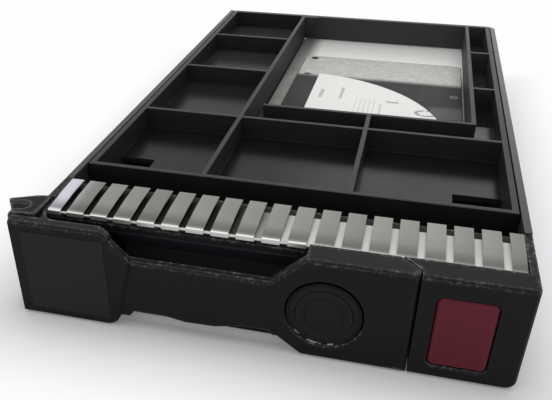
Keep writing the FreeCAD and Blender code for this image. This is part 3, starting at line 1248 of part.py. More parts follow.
def build_drive_base():
    body = box(DRIVE_X0, DRIVE_X1, DRIVE_Y0, TRAY_END_Y, DRIVE_BASE_Z, DRIVE_TOP)
    body = round_edges(body, DRIVE_CORNER_R, 2)
    recess = box(COVER_X0, COVER_X1, COVER_Y0, COVER_Y1, SEAT_Z, DRIVE_TOP + 1)
    m = BOARD_MARGIN
    pocket = box(BOARD_X0 - m, BOARD_X1 + m, BOARD_Y0 - m, BOARD_Y1 + m, 0, BOARD_POCKET_Z)
    half = PLUG_W / 2 + m
    socket = box(PLUG_X - half, PLUG_X + half, TRAY_END_Y - PLUG_L - m, TRAY_END_Y + 1, 0,
                 DRIVE_BASE_Z + PLUG_H + 4 * SEAT)
    cuts = [round_edges(recess, COVER_R, 2), cavity(0, BASE_FLOOR_Z, SEAT_Z), round_edges(pocket, 1, 2),
            socket]
    for x, y, z, inward in drive_side_spots():
        cuts.append(Part.makeCylinder(M3_R + FIT, DRIVE_HOLE_DEPTH + 2 * RAIL_T, vec(x, y, z), inward))
        mirrored = vec(DRIVE_X0, y, z)
        cuts.append(Part.makeCylinder(M3_R + FIT, DRIVE_HOLE_DEPTH, mirrored, inward * -1))
    for x, y, z, inward in drive_bottom_spots():
        cuts.append(rod_z(x, y, 0, DRIVE_BASE_Z + DRIVE_HOLE_DEPTH, M3_R + FIT))
        cuts.append(rod_z(2 * DRIVE_X - x, y, 0, DRIVE_BASE_Z + DRIVE_HOLE_DEPTH, M3_R + FIT))
    for x, y in cover_screw_spots():
        cuts.append(rod_z(x, y, DRIVE_TOP - COVER_HEAD_T - COVER_SCREW_L - GAP, DRIVE_TOP,
                          COVER_SCREW_R + FIT))
    cuts.append(rod_z(SPIN_X, SPIN_Y, BOARD_POCKET_Z - 1, BASE_FLOOR_Z + 1, SHAFT_R + FIT))
    cuts.append(rod_z(PIVOT_X, PIVOT_Y, BOARD_POCKET_Z - 1, BASE_FLOOR_Z + 1, PIVOT_POST_R + FIT))
    body = minus(body, cuts)
    seat = ring_z(SPIN_X, SPIN_Y, BASE_FLOOR_Z, STATOR_Z, STATOR_BORE_R, STATOR_YOKE_R)
    posts = []
    for x, y in board_screw_spots():
        post = rod_z(x, y, BOARD_TOP, BOARD_POCKET_Z, BOARD_HEAD_R + GAP)
        hole = rod_z(x, y, BOARD_TOP - 1, BOARD_TOP + BOARD_SCREW_L - BOARD_T + GAP, BOARD_SCREW_R + FIT)
        posts.append(post)
        body = body.cut(hole)
    body = join([body, seat] + posts)
    for x, y in board_screw_spots():
        body = body.cut(rod_z(x, y, BOARD_TOP - 1, BOARD_TOP + BOARD_SCREW_L - BOARD_T + GAP,
                              BOARD_SCREW_R + FIT))
    save("drive_base", body)


def build_drive_cover():
    s = SEAT
    cover = box(COVER_X0 + s, COVER_X1 - s, COVER_Y0 + s, COVER_Y1 - s, COVER_Z, DRIVE_TOP)
    cover = round_edges(cover, COVER_R - s, 2)
    cuts = []
    for x, y in cover_screw_spots():
        cuts.append(rod_z(x, y, COVER_Z - 1, DRIVE_TOP + 1, COVER_SCREW_R + FIT))
        cuts.append(rod_z(x, y, DRIVE_TOP - COVER_HEAD_T, DRIVE_TOP + 1, COVER_HEAD_R + FIT))
    save("drive_cover", minus(cover, cuts))
    i = GASKET_INSET
    gasket = box(COVER_X0 + i, COVER_X1 - i, COVER_Y0 + i, COVER_Y1 - i, SEAT_Z, COVER_Z)
    gasket = round_edges(gasket, COVER_R - i, 2)
    cuts = [cavity(GASKET_MARGIN, SEAT_Z - 1, COVER_Z + 1)]
    for x, y in cover_screw_spots():
        cuts.append(rod_z(x, y, SEAT_Z - 1, COVER_Z + 1, COVER_SCREW_R + FIT))
    save("cover_gasket", minus(gasket, cuts))
    down = vec(0, 0, -1)
    z = DRIVE_TOP - COVER_HEAD_T
    screws = [cap_screw(x, y, z, down, COVER_HEAD_R, COVER_HEAD_T, COVER_SCREW_R, COVER_SCREW_L)
              for x, y in cover_screw_spots()]
    save("cover_screws", Part.makeCompound(screws))


def build_labels():
    disc = rod_z(LABEL_ARC_X, LABEL_ARC_Y, DRIVE_TOP, DRIVE_TOP + LABEL_T, LABEL_ARC_R)
    keep = box(LABEL_LEFT_X, COVER_X1 - 1, LABEL_FRONT_Y, COVER_Y1, DRIVE_TOP, DRIVE_TOP + LABEL_T)
    label = disc.common(keep)
    save("drive_label", label)
    x0 = DRIVE_X0 + SEAT
    save("strip_label", box(x0, x0 + STRIP_W, STRIP_FRONT_Y, STRIP_REAR_Y, DRIVE_TOP, DRIVE_TOP + LABEL_T))


# ------------------------------------------------------------------ disc pack

def clamp_screw_spots():
    spots = []
    for i in range(CLAMP_SCREW_COUNT):
        angle = radians(360.0 * i / CLAMP_SCREW_COUNT)
        spots.append((SPIN_X + CLAMP_SCREW_PCR * cos(angle), SPIN_Y + CLAMP_SCREW_PCR * sin(angle)))
    return spots


def build_disc_pack():
    x = SPIN_X
    y = SPIN_Y
    hub_r = DISC_BORE_R - FIT
    web_z = CLAMP_Z - HUB_WEB_T
    rim_z = LOWER_DISC_Z - HUB_RIM_T
    rim = ring_z(x, y, rim_z, LOWER_DISC_Z, HUB_CUP_R, HUB_RIM_R)
    cup = ring_z(x, y, rim_z, CLAMP_Z, HUB_CUP_R, hub_r)
    web = ring_z(x, y, web_z, CLAMP_Z, SHAFT_R + FIT, hub_r)
    sleeve = ring_z(x, y, HUB_SLEEVE_Z, CLAMP_Z, SHAFT_R + FIT, HUB_SLEEVE_R)
    hub = join([rim, cup, web, sleeve])
    hub = minus(hub, [rod_z(sx, sy, web_z - 1, CLAMP_Z + 1, CLAMP_SCREW_R + FIT) for sx,
                      sy in clamp_screw_spots()])
    save("spindle_hub", hub)
    save("lower_disc", ring_z(x, y, LOWER_DISC_Z, LOWER_DISC_Z + DISC_T, DISC_BORE_R, DISC_R))
    save("upper_disc", ring_z(x, y, UPPER_DISC_Z, UPPER_DISC_Z + DISC_T, DISC_BORE_R, DISC_R))
    save("disc_spacer", ring_z(x, y, LOWER_DISC_Z + DISC_T, UPPER_DISC_Z, DISC_BORE_R, HUB_RIM_R))
    clamp = ring_z(x, y, CLAMP_Z, CLAMP_Z + CLAMP_T, CLAMP_BORE_R, HUB_RIM_R)
    holes = [rod_z(sx, sy, CLAMP_Z - 1, CLAMP_Z + 2, CLAMP_SCREW_R + FIT) for sx, sy in clamp_screw_spots()]
    save("disc_clamp", minus(clamp, holes))
    down = vec(0, 0, -1)
    top = CLAMP_Z + CLAMP_T
    screws = [cap_screw(sx, sy, top, down, CLAMP_HEAD_R, CLAMP_HEAD_T, CLAMP_SCREW_R,
                        CLAMP_T + HUB_WEB_T - SEAT)
              for sx, sy in clamp_screw_spots()]
    save("clamp_screws", Part.makeCompound(screws))
    magnet_r = HUB_CUP_R - MAGNET_RING_T
    save("rotor_magnet", ring_z(x, y, rim_z, rim_z + MAGNET_RING_H, magnet_r, HUB_CUP_R))


def build_spindle_stator():
    x = SPIN_X
    y = SPIN_Y
    z1 = STATOR_Z + STATOR_T
    yoke = ring_z(x, y, STATOR_Z, z1, STATOR_BORE_R, STATOR_YOKE_R)
    core = [yoke]
    coils = []
    step = 360.0 / STATOR_TEETH
    tip_r0 = STATOR_R - TOOTH_TIP_T
    for i in range(STATOR_TEETH):
        arm = box(x + STATOR_YOKE_R - GAP, x + tip_r0 + GAP, y - TOOTH_W / 2, y + TOOTH_W / 2, STATOR_Z, z1)
        arm.rotate(vec(x, y, 0), vec(0, 0, 1), i * step)
        core.append(arm)
        core.append(sector(x, y, tip_r0, STATOR_R, i * step - step / 3, i * step + step / 3, STATOR_Z, z1))
        r0 = STATOR_YOKE_R + SEAT
        r1 = tip_r0 - SEAT
        half = TOOTH_W / 2 + COIL_T
        winding = box(x + r0, x + r1, y - half, y + half, STATOR_Z - COIL_T, z1 + COIL_T)
        bore = box(x + r0, x + r1, y - TOOTH_W / 2, y + TOOTH_W / 2, STATOR_Z, z1)
        winding = winding.cut(bore)
        winding.rotate(vec(x, y, 0), vec(0, 0, 1), i * step)
        trim = sector(x, y, r0, r1 + 1, i * step - step / 2 + 1, i * step + step / 2 - 1, STATOR_Z - 1,
                      z1 + 1)
        coils.append(winding.common(trim))
    save("stator_core", join(core))
    save("stator_coils", Part.makeCompound(coils))
    save("spindle_shaft", rod_z(x, y, BOARD_POCKET_Z, CLAMP_Z + CLAMP_T / 2, SHAFT_R))


# ------------------------------------------------------------------ head actuator

def turned(shape):
    """Turn a piece drawn pointing along +X from the pivot to the parked direction."""
    shape.rotate(vec(PIVOT_X, PIVOT_Y, 0), vec(0, 0, 1), PARK_DEG)
    return shape


def strip(r0, r1, w0, w1, z0, z1):
    x = PIVOT_X
    y = PIVOT_Y
    points = [(x + r0, y - w0 / 2), (x + r1, y - w1 / 2), (x + r1, y + w1 / 2), (x + r0, y + w0 / 2)]
    return prism_z(points, z0, z1)


def head_levels():
    """Underside height of each spring arm and of its slider, from the lowest disc face up."""
    reach = SLIDER_T + GAP
    low = LOWER_DISC_Z - reach - SPRING_ARM_T
    low_top = LOWER_DISC_Z + DISC_T + reach
    high = UPPER_DISC_Z - reach - SPRING_ARM_T
    high_top = UPPER_DISC_Z + DISC_T + reach
    up = SPRING_ARM_T
    return [(low, low + up), (low_top, low_top - SLIDER_T), (high, high + up),
            (high_top, high_top - SLIDER_T)]


def build_actuator():
    x = PIVOT_X
    y = PIVOT_Y
    levels = head_levels()
    sleeve = ring_z(x, y, BLOCK_Z0 - GAP, BLOCK_Z1 + GAP, PIVOT_POST_R + FIT, PIVOT_SLEEVE_R)
    save("pivot_bearing", sleeve)
    save("pivot_post", rod_z(x, y, BOARD_POCKET_Z, PIVOT_POST_TOP, PIVOT_POST_R))
    block = ring_z(x, y, BLOCK_Z0, BLOCK_Z1, PIVOT_SLEEVE_R, BLOCK_R)
    arm_zs = [(levels[0][0] - ARM_T, levels[0][0])]
    arm_zs.append((levels[1][0] + SPRING_ARM_T, levels[2][0]))
    arm_zs.append((levels[3][0] + SPRING_ARM_T, levels[3][0] + SPRING_ARM_T + ARM_T))
    pieces = [block]
    root = PIVOT_SLEEVE_R + (BLOCK_R - PIVOT_SLEEVE_R) / 2
    for z0, z1 in arm_zs:
        pieces.append(turned(strip(root, ARM_L, ARM_ROOT_W, ARM_TIP_W, z0, z1)))
    half = VOICE_COIL_HALF_DEG
    f = COIL_FRAME_DEG
    middle = PARK_DEG + 180
    outer = VOICE_COIL_R1 + COIL_FRAME_T
    sides = [sector(x, y, root, outer, middle + half, middle + half + f, COIL_ARM_Z0, COIL_ARM_Z1)]
    sides.append(sector(x, y, root, outer, middle - half - f, middle - half, COIL_ARM_Z0, COIL_ARM_Z1))
    sides.append(sector(x, y, VOICE_COIL_R1, outer, middle - half - f, middle + half + f, COIL_ARM_Z0,
                        COIL_ARM_Z1))
    block = join(pieces + sides)
    save("actuator_block", block)
    winding = sector(x, y, VOICE_COIL_R0, VOICE_COIL_R1, middle - half, middle + half, COIL_ARM_Z0,
                     COIL_ARM_Z1)
    w = VOICE_COIL_W
    inset = half * w / VOICE_COIL_R0
    eye = sector(x, y, VOICE_COIL_R0 + w, VOICE_COIL_R1 - w, middle - half + inset, middle + half - inset,
                 COIL_ARM_Z0, COIL_ARM_Z1)
    save("voice_coil", winding.cut(eye))
    springs = []
    sliders = []
    slider_x0 = SLIDER_AT - SLIDER_L / 2
    for z_spring, z_slider in levels:
        springs.append(turned(strip(SPRING_ARM_ROOT, SPRING_ARM_L, SPRING_ARM_ROOT_W, SPRING_ARM_TIP_W,
                                    z_spring, z_spring + SPRING_ARM_T)))
        sliders.append(turned(strip(slider_x0, slider_x0 + SLIDER_L, SLIDER_W, SLIDER_W,
                                    z_slider, z_slider + SLIDER_T)))
    save("head_springs", Part.makeCompound(springs))
    save("head_sliders", Part.makeCompound(sliders))


def build_voice_magnets():
    x = PIVOT_X
    y = PIVOT_Y
    z0 = BASE_FLOOR_Z
    lower = sector(x, y, YOKE_R0, YOKE_R1, YOKE_DEG0, YOKE_DEG1, z0, z0 + YOKE_T)
    upper = sector(x, y, YOKE_R0, YOKE_R1, YOKE_DEG0, YOKE_DEG1, YOKE_TOP_Z - YOKE_T, YOKE_TOP_Z)
    posts = []
    for angle in (YOKE_DEG0 + YOKE_POST_INSET, YOKE_DEG1 - YOKE_POST_INSET):
        px, py = polar(angle, YOKE_POST_AT)
        posts.append(rod_z(px, py, z0 + YOKE_T, YOKE_TOP_Z - YOKE_T, YOKE_POST_R))
    save("lower_yoke", join([lower] + posts))
    save("upper_yoke", upper)
    r1 = YOKE_R1 - SEAT
    save("lower_magnet", sector(x, y, MAGNET_R0, r1, MAGNET_DEG0, MAGNET_DEG1, z0 + YOKE_T,
                                z0 + YOKE_T + MAGNET_T))
    top = YOKE_TOP_Z - YOKE_T
    save("upper_magnet", sector(x, y, MAGNET_R0, r1, MAGNET_DEG0, MAGNET_DEG1, top - MAGNET_T, top))


def build_load_ramp():
    x = PIVOT_X
    y = PIVOT_Y
    a0 = PARK_DEG - RAMP_HALF_DEG
    a1 = PARK_DEG + RAMP_HALF_DEG
    parts = [sector(x, y, RAMP_R0, RAMP_R1, a0, a1, BASE_FLOOR_Z, RAMP_TOP_Z)]
    for z in (LOWER_DISC_Z, UPPER_DISC_Z):
        parts.append(sector(x, y, RAMP_FINGER_R0, RAMP_R0 + GAP, a0, a1, z, z + DISC_T))
    save("load_ramp", join(parts))


def build_head_flex():
    r = HEAD_FLEX_R
    bow = sector(PIVOT_X, PIVOT_Y, r, r + FLEX_T, HEAD_FLEX_DEG0, HEAD_FLEX_DEG1, HEAD_FLEX_Z0,
                 HEAD_FLEX_Z1)
    px, py = polar(HEAD_FLEX_DEG0, r)
    leg = box(px - FLEX_FOOT_L, px + FLEX_T, py, py + FLEX_T, HEAD_FLEX_Z0, HEAD_FLEX_Z1)
    drop = box(px - FLEX_FOOT_L, px - FLEX_FOOT_L + FLEX_FOOT_L / 2, py, py + FLEX_T,
               BASE_FLOOR_Z + FLEX_FOOT_T, HEAD_FLEX_Z1)
    save("head_flex", join([bow, leg, drop]))
    x1 = px - FLEX_FOOT_L + FLEX_FOOT_L / 2
    foot = box(x1 - FLEX_FOOT_L, x1, py - FLEX_T, py - FLEX_T + FLEX_FOOT_W, BASE_FLOOR_Z,
               BASE_FLOOR_Z + FLEX_FOOT_T)
    save("flex_connector", foot)


# ------------------------------------------------------------------ drive electronics

def build_circuit_board():
    board = box(BOARD_X0, BOARD_X1, BOARD_Y0, BOARD_Y1, BOARD_Z, BOARD_TOP)
    board = round_edges(board, 1, 2)
    half = PLUG_W / 2 + SEAT
    notch = box(PLUG_X - half, PLUG_X + half, TRAY_END_Y - PLUG_L - SEAT, BOARD_Y1 + 1, 0, BOARD_POCKET_Z)
    cuts = [notch]
    for x, y in board_screw_spots():
        cuts.append(rod_z(x, y, BOARD_Z - 1, BOARD_TOP + 1, BOARD_SCREW_R + FIT))
    save("circuit_board", minus(board, cuts))
    up = vec(0, 0, 1)
    screws = [cap_screw(x, y, BOARD_Z, up, BOARD_HEAD_R, BOARD_HEAD_T, BOARD_SCREW_R, BOARD_SCREW_L)
              for x, y in board_screw_spots()]
    save("board_screws", Part.makeCompound(screws))


def chip(x, y, w, length):
    return box(x - w / 2, x + w / 2, y - length / 2, y + length / 2, BOARD_TOP, BOARD_TOP + CHIP_T)


def build_chips():
    save("controller_chip", chip(CPU_X, CPU_Y, CPU_W, CPU_W))
    save("memory_chip", chip(MEMORY_X, MEMORY_Y, MEMORY_W, MEMORY_L))
    save("driver_chip", chip(DRIVER_X, DRIVER_Y, DRIVER_W, DRIVER_W))


def build_plug():
    half = PLUG_W / 2
    y0 = TRAY_END_Y - PLUG_L
    z0 = DRIVE_BASE_Z + SEAT
    z1 = z0 + PLUG_H
    shell = box(PLUG_X - half, PLUG_X + half, y0, TRAY_END_Y, z0, z1)
    w = PLUG_WALL
    mouth = box(PLUG_X - half + w, PLUG_X + half - w, y0 + 2 * w, TRAY_END_Y + 1, z0 + w, z1 - w)
    tongue_z = (z0 + z1 - PLUG_TONGUE_T) / 2
    tongue = box(PLUG_X - half + 2 * w, PLUG_X + half - 2 * w, y0 + w, TRAY_END_Y - w, tongue_z,
                 tongue_z + PLUG_TONGUE_T)
    key = box(PLUG_X + PLUG_KEY_X, PLUG_X + PLUG_KEY_X + PLUG_KEY_W, y0 + 2 * w, TRAY_END_Y, tongue_z - 1,
              tongue_z + PLUG_TONGUE_T + 1)
    save("drive_plug", join([shell.cut(mouth), tongue.cut(key)]))
    pins = []
    start = PLUG_X - PLUG_PIN_PITCH * (PLUG_PIN_COUNT - 1) / 2
    for i in range(PLUG_PIN_COUNT):
        x = start + i * PLUG_PIN_PITCH
        if PLUG_KEY_X - PLUG_PIN_W < x - PLUG_X < PLUG_KEY_X + PLUG_KEY_W + PLUG_PIN_W:
            continue
        z = tongue_z - PLUG_PIN_T
        pins.append(box(x - PLUG_PIN_W / 2, x + PLUG_PIN_W / 2, y0 + 3 * w, TRAY_END_Y - 2 * w, z,
                        tongue_z))
    save("plug_contacts", Part.makeCompound(pins))


def main():
    os.makedirs("parts", exist_ok=True)
    build_left_rail()
    build_right_rail()
    build_converter_frame()
    build_bezel_body()
    build_emi_fingers()
    build_swing_lever()
    build_pivot_pin()
    build_status_lights()
    build_release_button()
    build_latch_slide()
    build_springs()
    build_status_flex()
    build_drive_base()
    build_drive_cover()
    build_labels()
    build_disc_pack()
    build_spindle_stator()
    build_actuator()
    build_voice_magnets()
    build_load_ramp()
    build_head_flex()
    build_circuit_board()
    build_chips()
    build_plug()
    build_fasteners()


main()
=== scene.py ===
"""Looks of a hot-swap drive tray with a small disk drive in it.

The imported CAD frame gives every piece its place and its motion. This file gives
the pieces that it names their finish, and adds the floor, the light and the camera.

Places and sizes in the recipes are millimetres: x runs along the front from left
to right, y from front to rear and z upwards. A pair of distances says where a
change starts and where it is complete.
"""

import json
import math

import bpy
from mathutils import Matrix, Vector

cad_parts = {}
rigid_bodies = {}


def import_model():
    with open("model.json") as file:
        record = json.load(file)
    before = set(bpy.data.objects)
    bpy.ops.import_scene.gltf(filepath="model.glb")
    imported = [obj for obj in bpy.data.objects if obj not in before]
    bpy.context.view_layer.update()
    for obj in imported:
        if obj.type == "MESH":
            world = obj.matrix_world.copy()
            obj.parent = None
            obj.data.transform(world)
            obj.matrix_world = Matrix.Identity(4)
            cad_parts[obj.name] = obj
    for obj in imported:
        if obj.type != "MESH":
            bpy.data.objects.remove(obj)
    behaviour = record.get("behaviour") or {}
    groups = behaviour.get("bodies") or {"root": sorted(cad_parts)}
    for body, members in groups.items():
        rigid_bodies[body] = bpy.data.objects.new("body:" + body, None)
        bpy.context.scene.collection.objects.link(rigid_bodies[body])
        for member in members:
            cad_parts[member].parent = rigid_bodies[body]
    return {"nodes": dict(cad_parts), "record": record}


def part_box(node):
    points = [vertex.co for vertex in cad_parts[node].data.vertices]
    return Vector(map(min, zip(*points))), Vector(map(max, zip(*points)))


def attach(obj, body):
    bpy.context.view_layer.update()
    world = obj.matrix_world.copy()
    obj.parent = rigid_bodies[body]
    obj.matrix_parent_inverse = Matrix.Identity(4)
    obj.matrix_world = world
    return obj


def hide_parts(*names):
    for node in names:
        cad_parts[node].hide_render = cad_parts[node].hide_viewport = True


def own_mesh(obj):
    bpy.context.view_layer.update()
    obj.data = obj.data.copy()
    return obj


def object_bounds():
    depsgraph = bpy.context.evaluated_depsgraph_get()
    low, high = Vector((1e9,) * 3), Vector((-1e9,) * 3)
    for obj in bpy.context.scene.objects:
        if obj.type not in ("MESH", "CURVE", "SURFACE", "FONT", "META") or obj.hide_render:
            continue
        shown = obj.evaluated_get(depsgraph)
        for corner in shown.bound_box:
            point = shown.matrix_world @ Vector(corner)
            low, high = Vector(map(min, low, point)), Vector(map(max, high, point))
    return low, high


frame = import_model()
CAD_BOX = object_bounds()

bl_info = {
    "name": "Drive Tray Finishes",
    "version": (1, 0, 0),
    "blender": (4, 5, 0),
    "location": "3D View > Sidebar > Drive Tray",
    "description": "Finishes, floor, light and camera for a disk drive in its tray",
    "category": "Object",
}

MM = 0.001

FINE = 4  # noise detail for close grain
COARSE = 2  # noise detail for slow changes
BEVEL_SAMPLES = 6

WHITE = (1.0, 1.0, 1.0, 1.0)
DULL = 0.1  # specular level of dusty black plastic


# ------------------------------------------------------------------ small helpers

def tone(red, green, blue):
    """A display colour of 0 to 255 as linear light."""
    made = []
    for level in (red, green, blue):
        v = level / 255
        made.append(v / 12.92 if v <= 0.04045 else ((v + 0.055) / 1.055) ** 2.4)
    return tuple(made)


def rgba(colour):
    return (*colour[:3], 1.0)


def scaled(colour, share):
    """A darker or lighter colour, no lighter than white."""
    return tuple(min(1.0, v * share) for v in colour[:3])


def box_mm(node):
    """Lowest and highest corner of a CAD node, in millimetres."""
    low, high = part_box(node)
    return low / MM, high / MM


def middle_mm(node):
    """Middle of a CAD node's box, in millimetres."""
    low, high = box_mm(node)
    return (low + high) / 2


def past(side, pair):
    """Two places that lie beyond a side by the distances in pair."""
    return side + pair[0], side + pair[1]


def short_of(side, pair):
    """Two places that lie before a side by the distances in pair."""
    return side - pair[0], side - pair[1]


# ------------------------------------------------------------------ materials written as sums

class Signal:
    """A value inside a material. Arithmetic on it adds Math nodes."""

    def __init__(self, finish, socket):
        self.finish = finish
        self.socket = socket

    def math(self, operation, *feeds):
        return self.finish.node("ShaderNodeMath", {"operation": operation}, dict(enumerate(feeds)))

    def __add__(self, other):
        return self.math("ADD", self, other)

    __radd__ = __add__

    def __sub__(self, other):
        return self.math("SUBTRACT", self, other)

    def __rsub__(self, other):
        return self.math("SUBTRACT", other, self)

    def __mul__(self, other):
        return self.math("MULTIPLY", self, other)

    __rmul__ = __mul__

    def __truediv__(self, other):
        return self.math("DIVIDE", self, other)

    def __abs__(self):
        return self.math("ABSOLUTE", self)

    def fraction(self):
        return self.math("FRACT", self)

    def floor(self):
        return self.math("FLOOR", self)

    def least(self, other):
        return self.math("MINIMUM", self, other)

    def most(self, other):
        return self.math("MAXIMUM", self, other)

    def rise(self, low, high):
        """0 below low, 1 above high and a smooth step between."""
        feeds = {0: self, 1: low, 2: high}
        return self.finish.node("ShaderNodeMapRange", {"interpolation_type": "SMOOTHSTEP"}, feeds)

    def fall(self, low, high):
        """1 below low, 0 above high and a smooth step between."""
        return 1 - self.rise(low, high)

    def between(self, low, high, soft):
        """1 from low to high, with ends that fade over soft to either side."""
        return self.rise(low - soft, low + soft) * self.fall(high - soft, high + soft)

    def around(self, level, swing):
        """Level, moved up and down by a signal of 0 to 1."""
        return (self - 0.5) * swing + level

    def off_middle(self):
        """Distance from the middle of each whole step, 0 to 0.5."""
        return abs(self.fraction() - 0.5)


class Finish:
    """The node tree of one material or of the world."""

    def __init__(self, owner):
        self.owner = owner
        owner.use_nodes = True
        self.tree = owner.node_tree
        self.tree.nodes.clear()

    def node(self, kind, settings=None, feeds=None, output=0):
        """Adds a node, sets it up, feeds its sockets and gives back one output."""
        made = self.tree.nodes.new(kind)
        for name, value in (settings or {}).items():
            setattr(made, name, value)
        for key, value in (feeds or {}).items():
            self.feed(made.inputs[key], value)
        return Signal(self, made.outputs[output]) if made.outputs else None

    def feed(self, socket, value):
        if isinstance(value, Signal):
            self.tree.links.new(value.socket, socket)
        else:
            socket.default_value = value

    def vector(self, operation, feeds, output=0):
        return self.node("ShaderNodeVectorMath", {"operation": operation}, feeds, output)


class Surface(Finish):
    """A material whose patterns are laid out in millimetres of the CAD frame."""

    def __init__(self, name):
        super().__init__(bpy.data.materials.new(name))
        place = self.node("ShaderNodeTexCoord", output="Object")
        self.mm = self.vector("SCALE", {0: place, "Scale": 1 / MM})
        self.x, self.y, self.z = (self.part(self.mm, axis) for axis in "XYZ")

    def part(self, vector, axis):
        return self.node("ShaderNodeSeparateXYZ", feeds={0: vector}, output=axis)

    def stretched(self, along_x, along_y, along_z):
        """The millimetre place with each direction scaled, for streaks."""
        return self.vector("MULTIPLY", {0: self.mm, 1: (along_x, along_y, along_z)})

    def noise(self, size, detail=COARSE, place=None, rough=0.5):
        """Noise of 0 to 1 whose blobs are about size millimetres across."""
        feeds = {"Vector": place or self.mm, "Scale": 1 / size}
        feeds.update({"Detail": detail, "Roughness": rough})
        return self.node("ShaderNodeTexNoise", {}, feeds)

    def specks(self, size, start, full, rough=0.8):
        """Scattered specks: 0 where the noise is under start and 1 where it is over full."""
        return self.noise(size, FINE, rough=rough).rise(start, full)

    def cells(self, size, feature="F1"):
        """Distance from the middle, or from the edge, of cells of about size millimetres."""
        feeds = {"Vector": self.mm, "Scale": 1 / size}
        return self.node("ShaderNodeTexVoronoi", {"feature": feature}, feeds, "Distance")

    def patch(self, x0, x1, y0, y1, soft):
        """A rectangle in the plan, 1 inside, with soft edges."""
        return self.x.between(x0, x1, soft) * self.y.between(y0, y1, soft)

    def length(self, x, y, z):
        """Length of the vector that three values make."""
        arrow = self.node("ShaderNodeCombineXYZ", {}, {0: x, 1: y, 2: z})
        return self.vector("LENGTH", {0: arrow}, "Value")

    def away(self, middle):
        """Distance in millimetres from the upright axis through middle."""
        flat = self.node("ShaderNodeCombineXYZ", {}, {0: self.x, 1: self.y, 2: 0.0})
        return self.vector("DISTANCE", {0: flat, 1: (middle.x, middle.y, 0.0)}, "Value")

    def blend(self, amount, first, second):
        """Mixes two colours, each a plain colour or a signal."""
        feeds = {0: amount}
        for key, colour in ((6, first), (7, second)):
            feeds[key] = colour if isinstance(colour, Signal) else rgba(colour)
        return self.node("ShaderNodeMix", {"data_type": "RGBA"}, feeds, 2)

    def rounded(self, radius):
        """Surface direction as if the edges were rounded."""
        return self.node("ShaderNodeBevel", {"samples": BEVEL_SAMPLES}, {"Radius": radius * MM})

    def edges(self, radius, gain):
        """0 on flat faces and up to 1 along the edges."""
        true = self.node("ShaderNodeNewGeometry", output="Normal")
        match = self.vector("DOT_PRODUCT", {0: self.rounded(radius), 1: true}, "Value")
        return ((1 - match) * gain).most(0.0).least(1.0)

    def facing_up(self, low, high, radius=0.3):
        """0 where the rounded surface looks level or down and 1 where it looks up."""
        return self.part(self.rounded(radius), "Z").rise(low, high)

    def bump(self, height, depth, normal=None):
        """Surface direction from a height of 0 to 1 that is depth millimetres deep."""
        feeds = {"Height": height, "Distance": depth * MM}
        if normal is not None:
            feeds["Normal"] = normal
        return self.node("ShaderNodeBump", {}, feeds)

    def finish(self, colour, rough, normal, metal=0.0, **fixed):
        """The closing shader. Fixed settings stay on the shader's own sockets."""
        feeds = {"Base Color": colour, "Roughness": rough, "Metallic": metal, "Normal": normal}
        for name, value in fixed.items():
            feeds[name.replace("_", " ").title().replace("Ior", "IOR")] = value
        shader = self.node("ShaderNodeBsdfPrincipled", {}, feeds)
        self.node("ShaderNodeOutputMaterial", {}, {0: shader})
        return self.owner


def dress(material, *nodes):
    """Gives CAD nodes their material."""
    for name in nodes:
        piece = frame["nodes"][name]
        for place in piece.material_slots:
            place.material = material


# ------------------------------------------------------------------ recipes for families of finish

def moulded(name, colour, rub_and_highlight_colour, rough, grain, depth, rub_and_highlight, gloss=DULL, tint=None):
    """Black moulded plastic: fine grain, slow sheen changes and lighter upper edges with specks,
    part rubbing and part painted highlight.

    tint, where given, may change the plain colour before the lighter edges go over it.
    """
    s = Surface(name)
    slow = s.noise(14, COARSE)
    fine = s.noise(grain, FINE, rough=0.6)
    # Edges that face up are painted lighter: partly rubbing, partly a painted highlight of light
    # from above.
    edge = s.edges(0.5, 4.0) * (0.15 + s.facing_up(0.1, 0.7) * 0.85)
    band = s.edges(1.7, 7.0) * s.facing_up(0.12, 0.5, 1.7)
    # Specks on the upper edges: painted glints, with some dust.
    specks = s.specks(1.1, 0.52, 0.62, 0.75) + s.specks(0.6, 0.6, 0.68)
    lightened_edges = ((edge * 0.3 + band * (0.06 + specks * 0.9)) * rub_and_highlight).least(1.0)
    base = s.blend(slow * 0.6 + fine * 0.4, scaled(colour, 0.8), colour)
    if tint:
        base = tint(s, base)
    shade = s.blend(lightened_edges, base, rub_and_highlight_colour)
    sheen = fine.around(slow.around(rough, 0.16), 0.1) - lightened_edges * 0.08
    normal = s.bump(fine, depth, s.rounded(0.25))
    return s.finish(shade, sheen, normal, specular_ior_level=gloss)


def coated_metal(name, colour, rough, streak, depth=0.003):
    """Sheet or turned metal with fine streaks that run one way, and rubbed edges."""
    s = Surface(name)
    lines = s.noise(0.22, FINE, s.stretched(*streak), 0.7)
    slow = s.noise(9, COARSE)
    base = s.blend(lines * 0.6 + slow * 0.4, scaled(colour, 0.72), colour)
    shade = s.blend(s.edges(0.25, 3.0) * 0.6, base, scaled(colour, 1.25))
    sheen = slow.around(lines.around(rough, 0.18), 0.12)
    return s.finish(shade, sheen, s.bump(lines, depth, s.rounded(0.12)), metal=1.0)


def turned_metal(name, colour, rough, middle, pitch=0.18):
    """Lathe-turned metal: rings round the upright axis through middle."""
    s = Surface(name)
    tooth = (s.away(middle) / pitch).off_middle() * 2
    slow = s.noise(5, COARSE)
    shade = s.blend(tooth * 0.5 + slow * 0.5, scaled(colour, 0.78), colour)
    normal = s.bump(tooth, 0.004, s.rounded(0.1))
    return s.finish(shade, slow.around(rough, 0.15), normal, metal=1.0)


def mottled(name, dark, light, size, rough, swing, depth, detail=FINE, radius=None, **fixed):
    """Plain stuff in two close tones: a noise moves its colour, its sheen and its height."""
    s = Surface(name)
    cloud = s.noise(size, detail)
    normal = s.bump(cloud, depth, s.rounded(radius) if radius else None)
    return s.finish(s.blend(cloud, dark, light), rough + cloud * swing, normal, **fixed)


